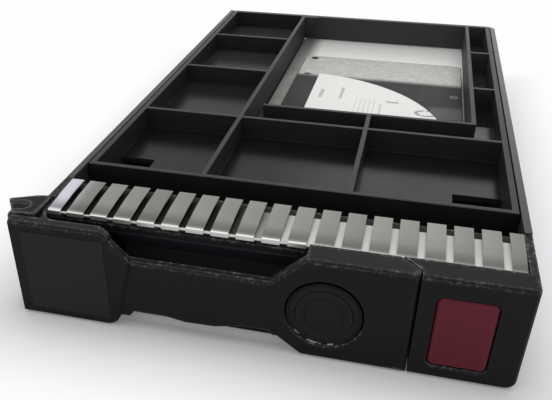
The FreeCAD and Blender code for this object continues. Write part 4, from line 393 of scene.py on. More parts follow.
def printed_paper(surface, base, marks, ink):
    """Coated label stock: faint fibre, slight cockle and pale generic marks."""
    fibre = surface.noise(0.3, FINE, rough=0.7)
    cockle = surface.noise(11, COARSE)
    plain = surface.blend(fibre * 0.6 + cockle * 0.3, base, scaled(base, 0.94))
    inked = surface.blend(marks.least(1.0), plain, ink)
    normal = surface.bump(cockle * 0.8 + fibre * 0.06, 0.03)
    return surface.finish(inked, fibre.around(0.5, 0.1), normal, specular_ior_level=0.35)


# ------------------------------------------------------------------ settings that a user may change

def colour_property(label, text, value):
    return bpy.props.FloatVectorProperty(
        name=label, description=text, subtype="COLOR", size=3, min=0.0, max=1.0, default=value
    )


def length_property(label, text, value):
    return bpy.props.FloatProperty(
        name=label, description=text, default=value, min=0.0, unit="LENGTH"
    )


class TrayColours(bpy.types.PropertyGroup):
    """Colours of the tray and of the drive in it."""

    frame_black: colour_property(
        "Frame", "Floors of the moulded adapter frame", tone(22, 23, 22))
    # Walls are painted lighter than the floors, as painted bounce light.
    frame_wall_bounce: colour_property(
        "Frame walls", "Walls of the moulded adapter frame", tone(40, 40, 42))
    bezel_black: colour_property(
        "Bezel", "Moulded front bezel", tone(25, 24, 26))
    # Inside of the bezel, painted lighter as fill light.
    recess_fill: colour_property(
        "Bezel recess", "Dusty inside of the bezel", tone(54, 53, 61))
    lever_black: colour_property(
        "Lever", "Swing lever", tone(24, 24, 25))
    pad_black: colour_property(
        "Lever pad", "Film on the lever's raised pad", tone(33, 33, 34))
    # Colour of rubbed edges and of the painted highlight where light catches upper edges.
    rubbed_and_lit_edge: colour_property(
        "Rubbed edge", "Where black plastic is rubbed", tone(126, 126, 130))
    button_maroon: colour_property(
        "Button", "Release button", tone(98, 28, 42))
    # Edge of the button, painted lighter as highlight and rubbing.
    button_edge_lit: colour_property(
        "Button edge", "Rubbed edge of the button", tone(132, 70, 80))
    rail_paint: colour_property(
        "Rails", "Painted side rails", tone(48, 48, 50))
    finger_metal: colour_property(
        "Spring fingers", "Plated spring strip", tone(134, 134, 129))
    finger_light: colour_property(
        "First finger", "Paler plating at the hinge end", tone(206, 203, 214))
    screw_metal: colour_property(
        "Screws", "Plated steel screws", tone(186, 186, 188))
    # Near white: the pale upward deck is a painted reflection.
    casting: colour_property(
        "Casting", "Cast body of the drive", tone(244, 243, 240))
    cover_band: colour_property(
        "Cover band", "Bare band at the rear of the cover", tone(206, 205, 200))
    # Dark field of the cover, painted as a reflection of the dark walls.
    cover_field_reflection: colour_property(
        "Cover field", "Dark field of the cover", tone(40, 40, 41))
    label_white: colour_property(
        "Label", "Paper label", tone(246, 246, 243))
    label_ink: colour_property(
        "Label marks", "Generic marks on the label", tone(120, 120, 120))
    strip_grey: colour_property(
        "Strip label", "Narrow label at the side", tone(138, 138, 134))
    copper: colour_property(
        "Copper", "Enamelled winding wire", tone(196, 112, 62))
    gold: colour_property(
        "Gold", "Plated contacts", tone(222, 184, 104))
    board_green: colour_property(
        "Circuit board", "Solder mask", tone(18, 78, 52))
    film_amber: colour_property(
        "Flex film", "Polyimide film", tone(176, 104, 36))


class TraySizes(bpy.types.PropertyGroup):
    """Sizes of the finishes and of the stage."""

    moulded_grain: length_property(
        "Moulded grain", "Size of the grain of black plastic", 0.35 * MM)
    cover_band_length: length_property(
        "Cover band", "Length of the cover's bare band", 20 * MM)
    finger_pitch: length_property(
        "Finger pitch", "Distance from one spring finger to the next", 5.56 * MM)
    finger_lead: length_property(
        "Finger lead", "How much of the first finger is cut away", 0.93 * MM)
    floor_reach: length_property(
        "Floor reach", "Half the side of the floor", 2.5)
    lens: bpy.props.FloatProperty(
        name="Lens", description="Focal length of the camera in millimetres",
        default=45.5125, min=10.0)
    lamp_power: bpy.props.FloatProperty(
        name="Lamp power", description="Power of the large soft lamp in watts",
        default=2.4, min=0.0)
    sky_level: bpy.props.FloatProperty(
        name="Sky level", description="Strength of the light from all round",
        default=0.65, min=0.0)


def colours():
    return bpy.context.scene.tray_colours


def sizes():
    return bpy.context.scene.tray_sizes


# ------------------------------------------------------------------ finishes, piece by piece

class FinishFrame(bpy.types.Operator):
    """Semi-gloss black moulding of the adapter frame"""

    bl_idname = "drive_tray.finish_frame"
    bl_label = "Adapter frame"

    rib_top = (0.6, 0.2)  # painted highlight on the top of the ribs, below the frame's highest point
    front_face = (0.2, 0.6)  # front face painted dark as shade, behind the front edge
    rear_start = 30  # floors and walls are painted paler as light from here, behind the front edge
    rear_end = 20  # to here, ahead of the rear edge
    drive_side = (3, 2)  # only walls near the drive are painted paler: left and right of its side

    def execute(self, context):
        c = colours()
        s = Surface("frame_plastic")
        low, high = box_mm("converter_frame")
        drive_low = box_mm("drive_base")[0]
        slow = s.noise(15, COARSE)
        fine = s.noise(sizes().moulded_grain / MM, FINE, rough=0.6)
        level = s.facing_up(0.3, 0.9)
        top = s.z.rise(*short_of(high.z, self.rib_top))
        front = s.y.fall(*past(low.y, self.front_face))
        rear = s.y.rise(low.y + self.rear_start, high.y - self.rear_end)
        left, right = self.drive_side
        window = s.x.rise(drive_low.x - left, drive_low.x + right)

        floor = s.blend(slow * 0.7 + fine * 0.3, scaled(c.frame_black, 0.82), c.frame_black)
        # Floors, and walls near the drive, are painted paler towards the rear: painted light.
        floor = s.blend(rear * 0.85, floor, tone(54, 55, 57))
        # Walls are painted lighter than the floors: painted bounce light.
        wall = s.blend(slow, scaled(c.frame_wall_bounce, 0.82), c.frame_wall_bounce)
        wall = s.blend(rear * window * 0.55, wall, tone(70, 70, 73))
        # Rib tops that face up are painted paler: a painted highlight.
        capped = s.blend(top * level * 0.5, s.blend(level, wall, floor), tone(84, 84, 87))
        # The front face is painted near black: painted shade.
        base = s.blend(front * 0.55, capped, tone(9, 9, 10))
        # Edges, the floor-wall junctions among them, are painted lighter: a painted highlight with
        # dust and glint specks.
        dust_and_glints = s.specks(0.7, 0.64, 0.72)
        edge_highlight_and_dust = s.edges(0.25, 4.0) * (0.25 + dust_and_glints) * (0.3 + level * 0.5 + top * 0.2)
        shade = s.blend(edge_highlight_and_dust.least(1.0), base, c.rubbed_and_lit_edge)
        sheen = fine.around(slow.around(0.52 - level * (1 - top) * 0.28, 0.12), 0.06)
        normal = s.bump(fine, 0.003, s.rounded(0.2))
        dress(s.finish(shade, sheen, normal, specular_ior_level=0.12), "converter_frame")
        return {"FINISHED"}


class FinishBezel(bpy.types.Operator):
    """Textured black moulding of the bezel and of the latch guide behind it"""

    bl_idname = "drive_tray.finish_bezel"
    bl_label = "Bezel"

    side_wall = 1.0  # the painted fill light keeps off the outside of the side walls
    bottom_wall = (0.3, 0.9)  # of the bottom
    rear_wall = (1.2, 0.6)  # and of the rear
    recess_front = (4, 6)  # recess painted lighter as fill light, behind the front
    recess_top = (5, 4)  # and below the top
    lid = (4, 3)  # ledge and rear part of the lid, painted dark as shade under the fingers, below the top
    lid_rear = (12, 14)  # where the rear part starts, behind the front
    ear_width = (8, 10)  # hinge ear edges painted paler, as rubbing and painted highlight, from the left side
    ear_bottom = (9, 6)  # and below the top

    def execute(self, context):
        c = colours()
        black = moulded(
            "bezel_plastic", c.bezel_black, c.rubbed_and_lit_edge, rough=0.5,
            grain=sizes().moulded_grain / MM, depth=0.014, rub_and_highlight=1.1, tint=self.tint)
        dress(black, "bezel_body", "latch_guide")
        return {"FINISHED"}

    def tint(self, s, base):
        """Inside painted lighter as fill light, ledge and rear under the fingers painted dark as
        shade, and hinge ear edges painted paler as highlight and rubbing.
        """
        low, high = box_mm("bezel_body")
        across = s.x.between(low.x + self.side_wall, high.x - self.side_wall, 0.5)
        above = s.z.rise(*past(low.z, self.bottom_wall))
        inside = across * above * s.y.fall(*short_of(high.y, self.rear_wall))
        sunk = s.y.rise(*past(low.y, self.recess_front))
        painted_fill = sunk * s.z.fall(*short_of(high.z, self.recess_top)) * inside
        lid = s.z.rise(*short_of(high.z, self.lid))
        ledge = s.facing_up(0.4, 0.8) * lid
        behind = s.y.rise(*past(low.y, self.lid_rear)) * lid
        ear = s.x.fall(*past(low.x, self.ear_width)) * s.edges(1.0, 5.0)
        ear = ear * s.z.rise(*short_of(high.z, self.ear_bottom))
        # The recess is painted lighter: painted fill light.
        base = s.blend(painted_fill, base, colours().recess_fill)
        # Ledge and rear lid under the fingers are painted near black: painted shade.
        base = s.blend(ledge * 0.6, base, tone(10, 10, 11))
        base = s.blend(behind, base, tone(7, 7, 8))
        # Hinge ear edges are painted paler: rubbing and painted highlight.
        return s.blend(ear * 0.7, base, tone(112, 112, 114))


class FinishRails(bpy.types.Operator):
    """Satin paint of the two side rails"""

    bl_idname = "drive_tray.finish_rails"
    bl_label = "Side rails"

    def execute(self, context):
        s = Surface("rail_metal")
        peel = s.noise(0.8, COARSE)
        scuff_and_reflection = s.noise(0.5, FINE, s.stretched(1.0, 0.06, 1.0), 0.7).rise(0.62, 0.75)
        bare = (s.edges(0.3, 3.5) * (0.3 + scuff_and_reflection)).least(1.0)
        shade = s.blend(bare * 0.7 + scuff_and_reflection * 0.06, colours().rail_paint, tone(104, 104, 106))
        sheen = peel.around(0.42, 0.12) - bare * 0.1
        normal = s.bump(peel, 0.012, s.rounded(0.2))
        made = s.finish(shade, sheen, normal, metal=bare * 0.6, specular_ior_level=0.35)
        dress(made, "left_rail", "right_rail")
        return {"FINISHED"}


class FinishFingers(bpy.types.Operator):
    """Plated spring steel of the finger strip, each finger a little different"""

    bl_idname = "drive_tray.finish_fingers"
    bl_label = "Spring fingers"

    pale_end = (1, 7)  # paler plating of the first finger, from the left end
    bend = (0.6, 1.2, 5.5)  # the shaded bend starts, is darkest and ends, behind the front
    fold = (0.2, 0.5)  # painted highlight along the front fold
    strip_front = (0.5, 0.7)  # the strip that joins the fingers, behind the front
    strip_top = (1.2, 1.0)  # and below the fingers' tops
    strip_lit = (-6, 10)  # the strip turns from painted shade to painted reflection, from the tray's middle

    def execute(self, context):
        s = Surface("finger_metal")
        low, high = box_mm("emi_fingers")
        c = colours()
        metal = c.finger_metal
        along = (s.x - low.x + sizes().finger_lead / MM) / (sizes().finger_pitch / MM)
        feeds = {"W": along.floor()}
        chance = s.node("ShaderNodeTexWhiteNoise", {"noise_dimensions": "1D"}, feeds)
        lines = s.noise(0.25, FINE, s.stretched(1.0, 0.05, 1.0), 0.7)
        slow = s.noise(6, COARSE)
        # Besides random tone, each finger is painted lighter at its left edge and darker at its
        # right: painted shade across the finger.
        mixed = chance * 0.35 + lines * 0.25 + slow * 0.2 + (1 - along.fraction()) * 0.3
        shade = s.blend(mixed.least(1.0), scaled(metal, 0.62), scaled(metal, 1.25))

        first = s.x.fall(*past(low.x, self.pale_end))
        start, darkest, end = self.bend
        bend = s.y.rise(low.y + start, low.y + darkest) * s.y.fall(low.y + darkest, low.y + end)
        below = s.z.fall(*short_of(high.z, self.strip_top))
        strip = below * s.y.rise(*past(low.y, self.strip_front))
        # The joining strip is painted near black on the left as shade and near white on the right
        # as a reflection.
        strip_shade_and_reflection = s.blend(s.x.rise(*self.strip_lit), tone(4, 4, 4), tone(222, 222, 217))
        shade = s.blend(first, shade, c.finger_light)
        shade = s.blend(bend * 0.6, shade, scaled(metal, 0.3))
        # The front fold is painted bright: a painted highlight.
        shade = s.blend(s.y.fall(*past(low.y, self.fold)), shade, tone(206, 206, 202))
        shade = s.blend(strip, shade, strip_shade_and_reflection)
        sheen = lines.around(0.4, 0.2) + strip * 0.2
        normal = s.bump(lines, 0.004, s.rounded(0.15))
        made = s.finish(shade, sheen, normal, metal=0.75 - strip * 0.6, specular_ior_level=0.1)
        dress(made, "emi_fingers")
        return {"FINISHED"}


class FinishLever(bpy.types.Operator):
    """Textured black lever, its end trim and the bare film on its raised pad"""

    bl_idname = "drive_tray.finish_lever"
    bl_label = "Swing lever"

    def execute(self, context):
        c = colours()
        grain = sizes().moulded_grain / MM
        lever = moulded(
            "lever_plastic", c.lever_black, c.rubbed_and_lit_edge, rough=0.48,
            grain=grain, depth=0.014, rub_and_highlight=1.1)
        dress(lever, "swing_lever")
        trim = moulded(
            "trim_plastic", c.lever_black, c.lever_black, rough=0.5,
            grain=grain, depth=0.01, rub_and_highlight=0.1)
        dress(trim, "lever_end_trim")
        s = Surface("pad_film")
        weave = s.noise(0.3, FINE, rough=0.7)
        slow = s.noise(12, COARSE)
        shade = s.blend(weave * 0.5 + slow * 0.5, scaled(c.pad_black, 0.92), c.pad_black)
        normal = s.bump(weave, 0.003)
        film = s.finish(shade, weave.around(0.62, 0.1), normal, specular_ior_level=0.15)
        dress(film, "lever_label")
        return {"FINISHED"}


class FinishStatusLights(bpy.types.Operator):
    """Smoked ring lens with its windows, the disc inside it and the parts behind"""

    bl_idname = "drive_tray.finish_status_lights"
    bl_label = "Status lights"

    window_count = 6
    rim = (7.2, 7.4)  # dark rim of the ring, from its middle
    glint_rim = (7.3, 7.6)  # painted glints near its rim, from its middle
    glint_turn = 0.28  # and round the ring, in turns clockwise from the right
    groove = 4.1  # radius of the disc's round groove
    bar_inner = (2.1, 2.3)  # inner ends of the disc's four short bars
    bar_outer = (3.6, 3.8)  # and their outer ends

    def execute(self, context):
        middle = middle_mm("status_ring")
        self.ring(middle)
        self.disc(middle)
        self.behind()
        return {"FINISHED"}

    def turn(self, s, middle):
        """Angle round the ring, in turns of -0.5 to 0.5."""
        up = s.z - middle.z
        return up.math("ARCTAN2", up, s.x - middle.x) / math.tau

    def reach(self, s, middle):
        """Distance from the middle of the ring, seen from the front."""
        return s.length(s.x - middle.x, 0.0, s.z - middle.z)

    def ring(self, middle):
        s = Surface("ring_lens")
        turn = self.turn(s, middle)
        reach = self.reach(s, middle)
        gap = ((turn + 0.5) * self.window_count).off_middle().fall(0.44, 0.47)
        slow = s.noise(3, COARSE)
        # Specks along the edges and near the lower rim are painted glints.
        edge = s.edges(0.3, 3.5) * (0.1 + s.specks(0.4, 0.62, 0.72)) * 0.5
        stretch = abs(turn + self.glint_turn).fall(0.08, 0.13) * reach.rise(*self.glint_rim)
        lower = stretch * s.noise(1.6, FINE).rise(0.52, 0.6)
        base = s.blend(slow, tone(20, 20, 21), tone(28, 28, 29))
        base = s.blend(reach.rise(*self.rim), base, tone(6, 6, 7))
        split = s.blend(gap, tone(14, 14, 15), base)
        shade = s.blend((edge + lower).least(1.0), split, tone(150, 150, 152))
        normal = s.bump(gap, 0.02, s.rounded(0.2))
        made = s.finish(shade, slow.around(0.34, 0.1), normal, specular_ior_level=DULL)
        dress(made, "status_ring")

    def disc(self, middle):
        s = Surface("disc_plastic")
        reach = self.reach(s, middle)
        groove = abs(reach - self.groove).fall(0.12, 0.4)
        tick = (self.turn(s, middle) * 4).off_middle().fall(0.02, 0.05)
        bar = tick * reach.rise(*self.bar_inner) * reach.fall(*self.bar_outer)
        mark = groove.most(bar)
        grain = s.noise(0.35, FINE, rough=0.65)
        # Edges are painted paler with specks: a painted highlight with some rubbing.
        edge = s.edges(0.3, 3.5) * (0.3 + s.specks(0.4, 0.6, 0.72))
        base = s.blend(grain, tone(22, 22, 23), tone(28, 28, 29))
        # The groove and the bars are painted dark as their shade.
        sunk = s.blend(mark * 0.7, base, tone(12, 12, 12))
        shade = s.blend(edge.least(1.0), sunk, tone(124, 124, 128))
        normal = s.bump(1 - mark, 0.05, s.bump(grain, 0.01, s.rounded(0.2)))
        made = s.finish(shade, grain.around(0.45, 0.1), normal, specular_ior_level=DULL)
        dress(made, "status_disc")

    def behind(self):
        """Clear light guide and the small lights at its end."""
        clear = mottled(
            "clear_plastic", tone(206, 212, 214), tone(228, 232, 233), size=2, detail=COARSE,
            rough=0.25, swing=0.15, depth=0.02, transmission_weight=0.35)
        dress(clear, "light_pipe")
        lens = mottled(
            "light_lens", tone(214, 206, 150), tone(236, 232, 196), size=0.6, detail=COARSE,
            rough=0.2, swing=0.2, depth=0.01)
        dress(lens, "status_leds")


class FinishButton(bpy.types.Operator):
    """Tinted satin release button and the black slide that it pushes"""

    bl_idname = "drive_tray.finish_button"
    bl_label = "Release button"

    pale_rim = (0.5, 1.1)  # painted highlight along the top and the right
    rich_rim = (0.6, 1.2)  # redder rim along the bottom and the left

    def execute(self, context):
        c = colours()
        s = Surface("button_plastic")
        low, high = box_mm("release_button")
        slow = s.noise(7, COARSE)
        grain = s.noise(0.3, FINE, rough=0.6)
        height = s.z.rise(low.z, high.z)
        maroon = c.button_maroon
        # Painted lighter towards the top as light from above.
        base = s.blend(slow * 0.6 + height * 0.4, scaled(maroon, 0.72), maroon)
        pale = (high.z - s.z).least(high.x - s.x).fall(*self.pale_rim)
        rich = (s.z - low.z).least(s.x - low.x).fall(*self.rich_rim)
        rimmed = s.blend(rich * 0.6, base, tone(120, 22, 40))
        rimmed = s.blend(pale * 0.45, rimmed, c.button_edge_lit)
        # Edges are painted lighter: a painted highlight with some rubbing.
        edge = s.edges(0.6, 3.2) * (0.5 + grain * 0.4)
        shade = s.blend(edge.least(1.0), rimmed, c.button_edge_lit)
        normal = s.bump(grain, 0.004, s.rounded(0.3))
        made = s.finish(shade, slow.around(0.42, 0.12), normal, specular_ior_level=0.15)
        dress(made, "release_button")
        slide = moulded(
            "latch_plastic", tone(40, 40, 40), c.rubbed_and_lit_edge, rough=0.4,
            grain=0.4, depth=0.004, rub_and_highlight=0.4, gloss=0.3)
        dress(slide, "latch_slide")
        return {"FINISHED"}


class FinishDriveCase(bpy.types.Operator):
    """Cast body of the drive, its pressed cover and the gasket under the cover"""

    bl_idname = "drive_tray.finish_drive_case"
    bl_label = "Drive case"

    lit_deck = (48, 26)  # rear deck painted pale as reflected light, ahead of its rear end
    left_side = (3, 9)  # duller left side of the casting
    band_fade = (3.5, 0.8)  # the bare band comes in, ahead of and behind its front edge
    band_warp = 1.2  # how far that edge wanders
    scuff_and_reflection = (47, 58, 23, 33)  # paler patch of the cover, a painted lamp reflection: left, right, front and rear

    def execute(self, context):
        self.casting()
        self.cover()
        rubber = mottled(
            "gasket_rubber", tone(24, 24, 24), tone(38, 38, 38), size=0.4,
            rough=0.7, swing=0.15, depth=0.01, specular_ior_level=0.2)
        dress(rubber, "cover_gasket")
        return {"FINISHED"}

    def casting(self):
        s = Surface("drive_casting")
        paint = colours().casting
        low, high = box_mm("drive_base")
        blast = s.noise(0.28, FINE, rough=0.7)
        slow = s.noise(12, COARSE)
        pits = s.cells(1.3).rise(0.08, 0.2)
        lit_deck = s.y.rise(*short_of(high.y, self.lit_deck))
        inward = s.x.rise(*past(low.x, self.left_side))
        base = s.blend(slow * 0.5 + blast * 0.5, scaled(paint, 0.86), paint)
        # Ahead of the pale deck the casting is painted darker: painted shade.
        front = s.blend(lit_deck, tone(104, 104, 102), base)
        side = s.blend(inward, tone(116, 116, 113), front)
        # Faces that don't look up are painted grey and the upward ones pale: lit and shaded copies
        # of one finish.
        upward = s.blend(s.facing_up(0.3, 0.8), tone(150, 150, 148), side)
        # Edges are painted paler: a painted highlight.
        shade = s.blend(s.edges(0.3, 3.0) * 0.3, upward, tone(226, 226, 224))
        normal = s.bump(blast * 0.7 + pits * 0.3, 0.012, s.rounded(0.25))
        dress(s.finish(shade, blast.around(0.46, 0.2), normal, metal=0.2), "drive_base")

    def cover(self):
        s = Surface("cover_metal")
        c = colours()
        low, high = box_mm("drive_cover")
        start = high.y - sizes().cover_band_length / MM
        ahead, behind = self.band_fade
        warped = s.y + (s.noise(9, COARSE) - 0.5) * self.band_warp
        band = warped.rise(start - ahead, start + behind)
        orange = s.noise(1.1, FINE, rough=0.6)
        lines = s.noise(0.3, FINE, s.stretched(0.05, 1.0, 1.0), 0.7)
        smudge = s.noise(16, COARSE).rise(0.35, 0.7)
        blotch = s.specks(2.2, 0.3, 0.7, 0.7)
        bare = s.blend(orange * 0.5 + blotch * 0.5, scaled(c.cover_band, 0.6), c.cover_band)
        # The field is painted dark: a painted reflection of the dark walls around it.
        field = s.blend(smudge * 0.6 + lines * 0.2, c.cover_field_reflection, tone(58, 58, 57))
        left, right, near, far = self.scuff_and_reflection
        scuff_and_reflection = s.patch(low.x + left, low.x + right, low.y + near, low.y + far, 1.6)
        # The paler patch is a painted reflection of a lamp.
        field = s.blend(scuff_and_reflection * 0.6, field, tone(110, 110, 108))
        shade = s.blend(band, field, bare)
        # Edges are painted paler: a painted highlight.
        shade = s.blend(s.edges(0.3, 3.0) * 0.2, shade, tone(200, 200, 198))
        sheen = orange.around(0.55 - band * 0.05, 0.12)
        normal = s.bump(orange * band + lines * 0.15, 0.02, s.rounded(0.25))
        made = s.finish(shade, sheen, normal, metal=band * 0.4, specular_ior_level=0.1)
        dress(made, "drive_cover")


class FinishLabels(bpy.types.Operator):
    """Paper labels with plain bars and rules on them, and no words"""

    bl_idname = "drive_tray.finish_labels"
    bl_label = "Labels"

    # Left, right, front and rear of each mark, from the label's front left corner.
    left_bar = (3.0, 4.2, 30.0, 38.0)
    long_bar = (9.8, 10.8, 30.5, 41.0)
    cross_bar = (25.5, 29.5, 30.4, 31.6)
    ruled = (15.5, 22.0, 12.0, 32.5)  # field of thin rules
    rule_pitch = 1.5
    single_rule = (23.6, 24.1, 10.0, 29.0)
    oval_middle = (38.5, 24.0)
    oval_reach = (3.4, 2.4)

    def execute(self, context):
        c = colours()
        s = Surface("label_paper")
        low = box_mm("drive_label")[0]
        marks = self.blocks(s, low) + self.rules(s, low) + self.oval(s, low)
        dress(printed_paper(s, c.label_white, marks, c.label_ink), "drive_label")
        s = Surface("strip_paper")
        blots = s.noise(5, COARSE).rise(0.5, 0.68) * s.noise(0.8, FINE).rise(0.4, 0.6)
        dress(printed_paper(s, c.strip_grey, blots * 0.7, tone(84, 84, 82)), "strip_label")
        return {"FINISHED"}

    def field(self, s, low, place, soft):
        """A rectangle of the label, given as left, right, front and rear."""
        left, right, near, far = place
        return s.patch(low.x + left, low.x + right, low.y + near, low.y + far, soft)

    def blocks(self, s, low):
        """Plain pale bars, a little uneven in tone."""
        drift = 0.35 + s.noise(3.0, COARSE) * 0.3
        upright = self.field(s, low, self.left_bar, 0.3) + self.field(s, low, self.long_bar, 0.3)
        return (upright + self.field(s, low, self.cross_bar, 0.3) * 1.4) * drift

    def rules(self, s, low):
        """Thin upright rules across the middle, and a single one beside them."""
        line = ((s.x - low.x) / self.rule_pitch).off_middle().fall(0.12, 0.22)
        ruled = line * self.field(s, low, self.ruled, 0.5) * 0.22
        return ruled + self.field(s, low, self.single_rule, 0.3) * 0.5

    def oval(self, s, low):
        """An open oval near the curved side."""
        across = (s.x - low.x - self.oval_middle[0]) / self.oval_reach[0]
        along = (s.y - low.y - self.oval_middle[1]) / self.oval_reach[1]
        ring = abs(s.length(across, along, 0.0) - 0.9).fall(0.1, 0.26)
        return ring * s.noise(0.9, FINE).rise(0.35, 0.5) * 0.9


class FinishDiscs(bpy.types.Operator):
    """Polished discs with the turned hub, spacer and clamp"""

    bl_idname = "drive_tray.finish_discs"
    bl_label = "Disc pack"

    track_pitch = 0.12

    def execute(self, context):
        middle = middle_mm("lower_disc")
        s = Surface("disc_mirror")
        tooth = (s.away(middle) / self.track_pitch).off_middle()
        haze = s.noise(8, COARSE)
        shade = s.blend(haze * 0.6 + tooth * 0.4, tone(206, 206, 208), tone(228, 228, 230))
        mirror = s.finish(shade, 0.06 + haze * 0.06, s.bump(tooth, 0.0004), metal=1.0)
        dress(mirror, "lower_disc", "upper_disc")
        turned = turned_metal("turned_metal", tone(214, 214, 216), 0.3, middle)
        dress(turned, "spindle_hub", "disc_spacer", "disc_clamp")
        return {"FINISHED"}


class FinishHeadArm(bpy.types.Operator):
    """Machined arm, its bearing, springs and sliders, and the ramp they park on"""

    bl_idname = "drive_tray.finish_head_arm"
    bl_label = "Head arm"

    def execute(self, context):
        middle = middle_mm("pivot_bearing")
        bearing = turned_metal("bearing_metal", tone(196, 197, 200), 0.28, middle, pitch=0.25)
        dress(bearing, "pivot_bearing")
        arm = coated_metal("machined_metal", tone(206, 207, 209), 0.34, streak=(1.0, 0.08, 1.0))
        dress(arm, "actuator_block")
        springs = coated_metal("spring_sheet", tone(204, 203, 200), 0.3, streak=(0.08, 1.0, 1.0))
        dress(springs, "head_springs")
        sliders = mottled(
            "slider_ceramic", tone(58, 58, 60), tone(80, 80, 82), size=0.15,
            rough=0.2, swing=0.1, depth=0.001)
        dress(sliders, "head_sliders")
        ramp = mottled(
            "ramp_plastic", tone(214, 211, 200), tone(232, 230, 222), size=1.5,
            rough=0.45, swing=0.1, depth=0.006, radius=0.15)
        dress(ramp, "load_ramp")
        return {"FINISHED"}


class FinishMotor(bpy.types.Operator):
    """Windings, stacked core, magnets and their plated yokes"""

    bl_idname = "drive_tray.finish_motor"
    bl_label = "Motor and magnets"

    wire_pitch = 0.16
    sheet_pitch = 0.35

    def execute(self, context):
        copper = colours().copper
        s = Surface("copper_wire")
        wound = s.z / self.wire_pitch + s.noise(2.5, COARSE) * 0.6
        round_wire = 1 - wound.off_middle() * 2
        tarnish = s.noise(1.6, FINE)
        # Each turn is painted lighter along its crown and darker between turns: painted shade of
        # round wire.
        shade = s.blend(round_wire * 0.6 + tarnish * 0.4, scaled(copper, 0.45), copper)
        wire = s.finish(shade, 0.34 + tarnish * 0.1, s.bump(round_wire, 0.05), metal=1.0)
        dress(wire, "stator_coils", "voice_coil")
        s = Surface("core_stack")
        sheet = (s.z / self.sheet_pitch).off_middle() * 2
        grain = s.noise(0.5, FINE)
        shade = s.blend(sheet * 0.5 + grain * 0.5, tone(120, 120, 122), tone(168, 168, 170))
        core = s.finish(shade, 0.4 + grain * 0.15, s.bump(sheet, 0.02), metal=1.0)
        dress(core, "stator_core")
        yoke = coated_metal("yoke_plate", tone(176, 176, 174), 0.3, streak=(0.2, 0.2, 1.0))
        dress(yoke, "lower_yoke", "upper_yoke")
        magnet = coated_metal("magnet_plate", tone(188, 188, 190), 0.22, streak=(0.5, 0.5, 0.5))
        dress(magnet, "lower_magnet", "upper_magnet", "rotor_magnet")
        return {"FINISHED"}


class FinishElectronics(bpy.types.Operator):
    """Circuit boards, chips, the drive's plug, flex circuits and contacts"""

    bl_idname = "drive_tray.finish_electronics"
    bl_label = "Electronics"

    lane_pitch = 0.7  # from one conductor of a flex film to the next

    def execute(self, context):
        self.boards()
        self.chips()
        self.films()
        plug = mottled(
            "plug_plastic", tone(26, 26, 27), tone(38, 38, 39), size=0.5,
            rough=0.45, swing=0.1, depth=0.008, radius=0.15)
        dress(plug, "drive_plug")
        gold = coated_metal("gold_plate", colours().gold, 0.25, streak=(1.0, 0.1, 1.0))
        dress(gold, "plug_contacts", "flex_contacts")
        return {"FINISHED"}

    def boards(self):
        """Solder mask with raised tracks, small holes and pale pads."""
        s = Surface("board_laminate")
        green = colours().board_green
        track = s.cells(2.2, "DISTANCE_TO_EDGE").fall(0.06, 0.12)
        fine = s.cells(0.9, "DISTANCE_TO_EDGE").fall(0.08, 0.16)
        tracks = track.most(fine * s.noise(14, COARSE).rise(0.45, 0.55))
        hole = s.cells(3.1).fall(0.1, 0.14)
        weave = s.noise(0.4, FINE)
        base = s.blend(tracks * 0.75 + weave * 0.2, green, scaled(green, 1.9))
        shade = s.blend(hole, base, tone(176, 178, 170))
        normal = s.bump(tracks + hole * 0.5, 0.02)
        made = s.finish(shade, 0.3 + weave * 0.12, normal, metal=hole * 0.8)
        dress(made, "circuit_board", "led_board")

    def chips(self):
        """Chip resin, and the pale plastic of the ribbon's connector."""
        s = Surface("chip_resin")
        grain = s.noise(0.2, FINE, rough=0.7)
        slow = s.noise(5, COARSE)
        shade = s.blend(grain * 0.5 + slow * 0.5, tone(34, 34, 36), tone(52, 52, 54))
        normal = s.bump(grain, 0.006, s.rounded(0.12))
        made = s.finish(shade, grain.around(0.55, 0.15), normal)
        dress(made, "controller_chip", "memory_chip", "driver_chip")
        pale = mottled(
            "white_plastic", tone(206, 204, 196), tone(226, 225, 219), size=1.2,
            rough=0.5, swing=0.1, depth=0.005, radius=0.1)
        dress(pale, "flex_connector")

    def films(self):
        """Amber film with darker conductors that run along it."""
        s = Surface("flex_film")
        amber = colours().film_amber
        wire = (s.z / self.lane_pitch).off_middle().fall(0.16, 0.24)
        cloud = s.noise(2.0, COARSE)
        shade = s.blend(wire * 0.7 + cloud * 0.3, amber, scaled(amber, 0.55))
        made = s.finish(shade, 0.26 + cloud * 0.12, s.bump(wire, 0.015), coat_weight=0.4)
        dress(made, "status_flex", "head_flex")


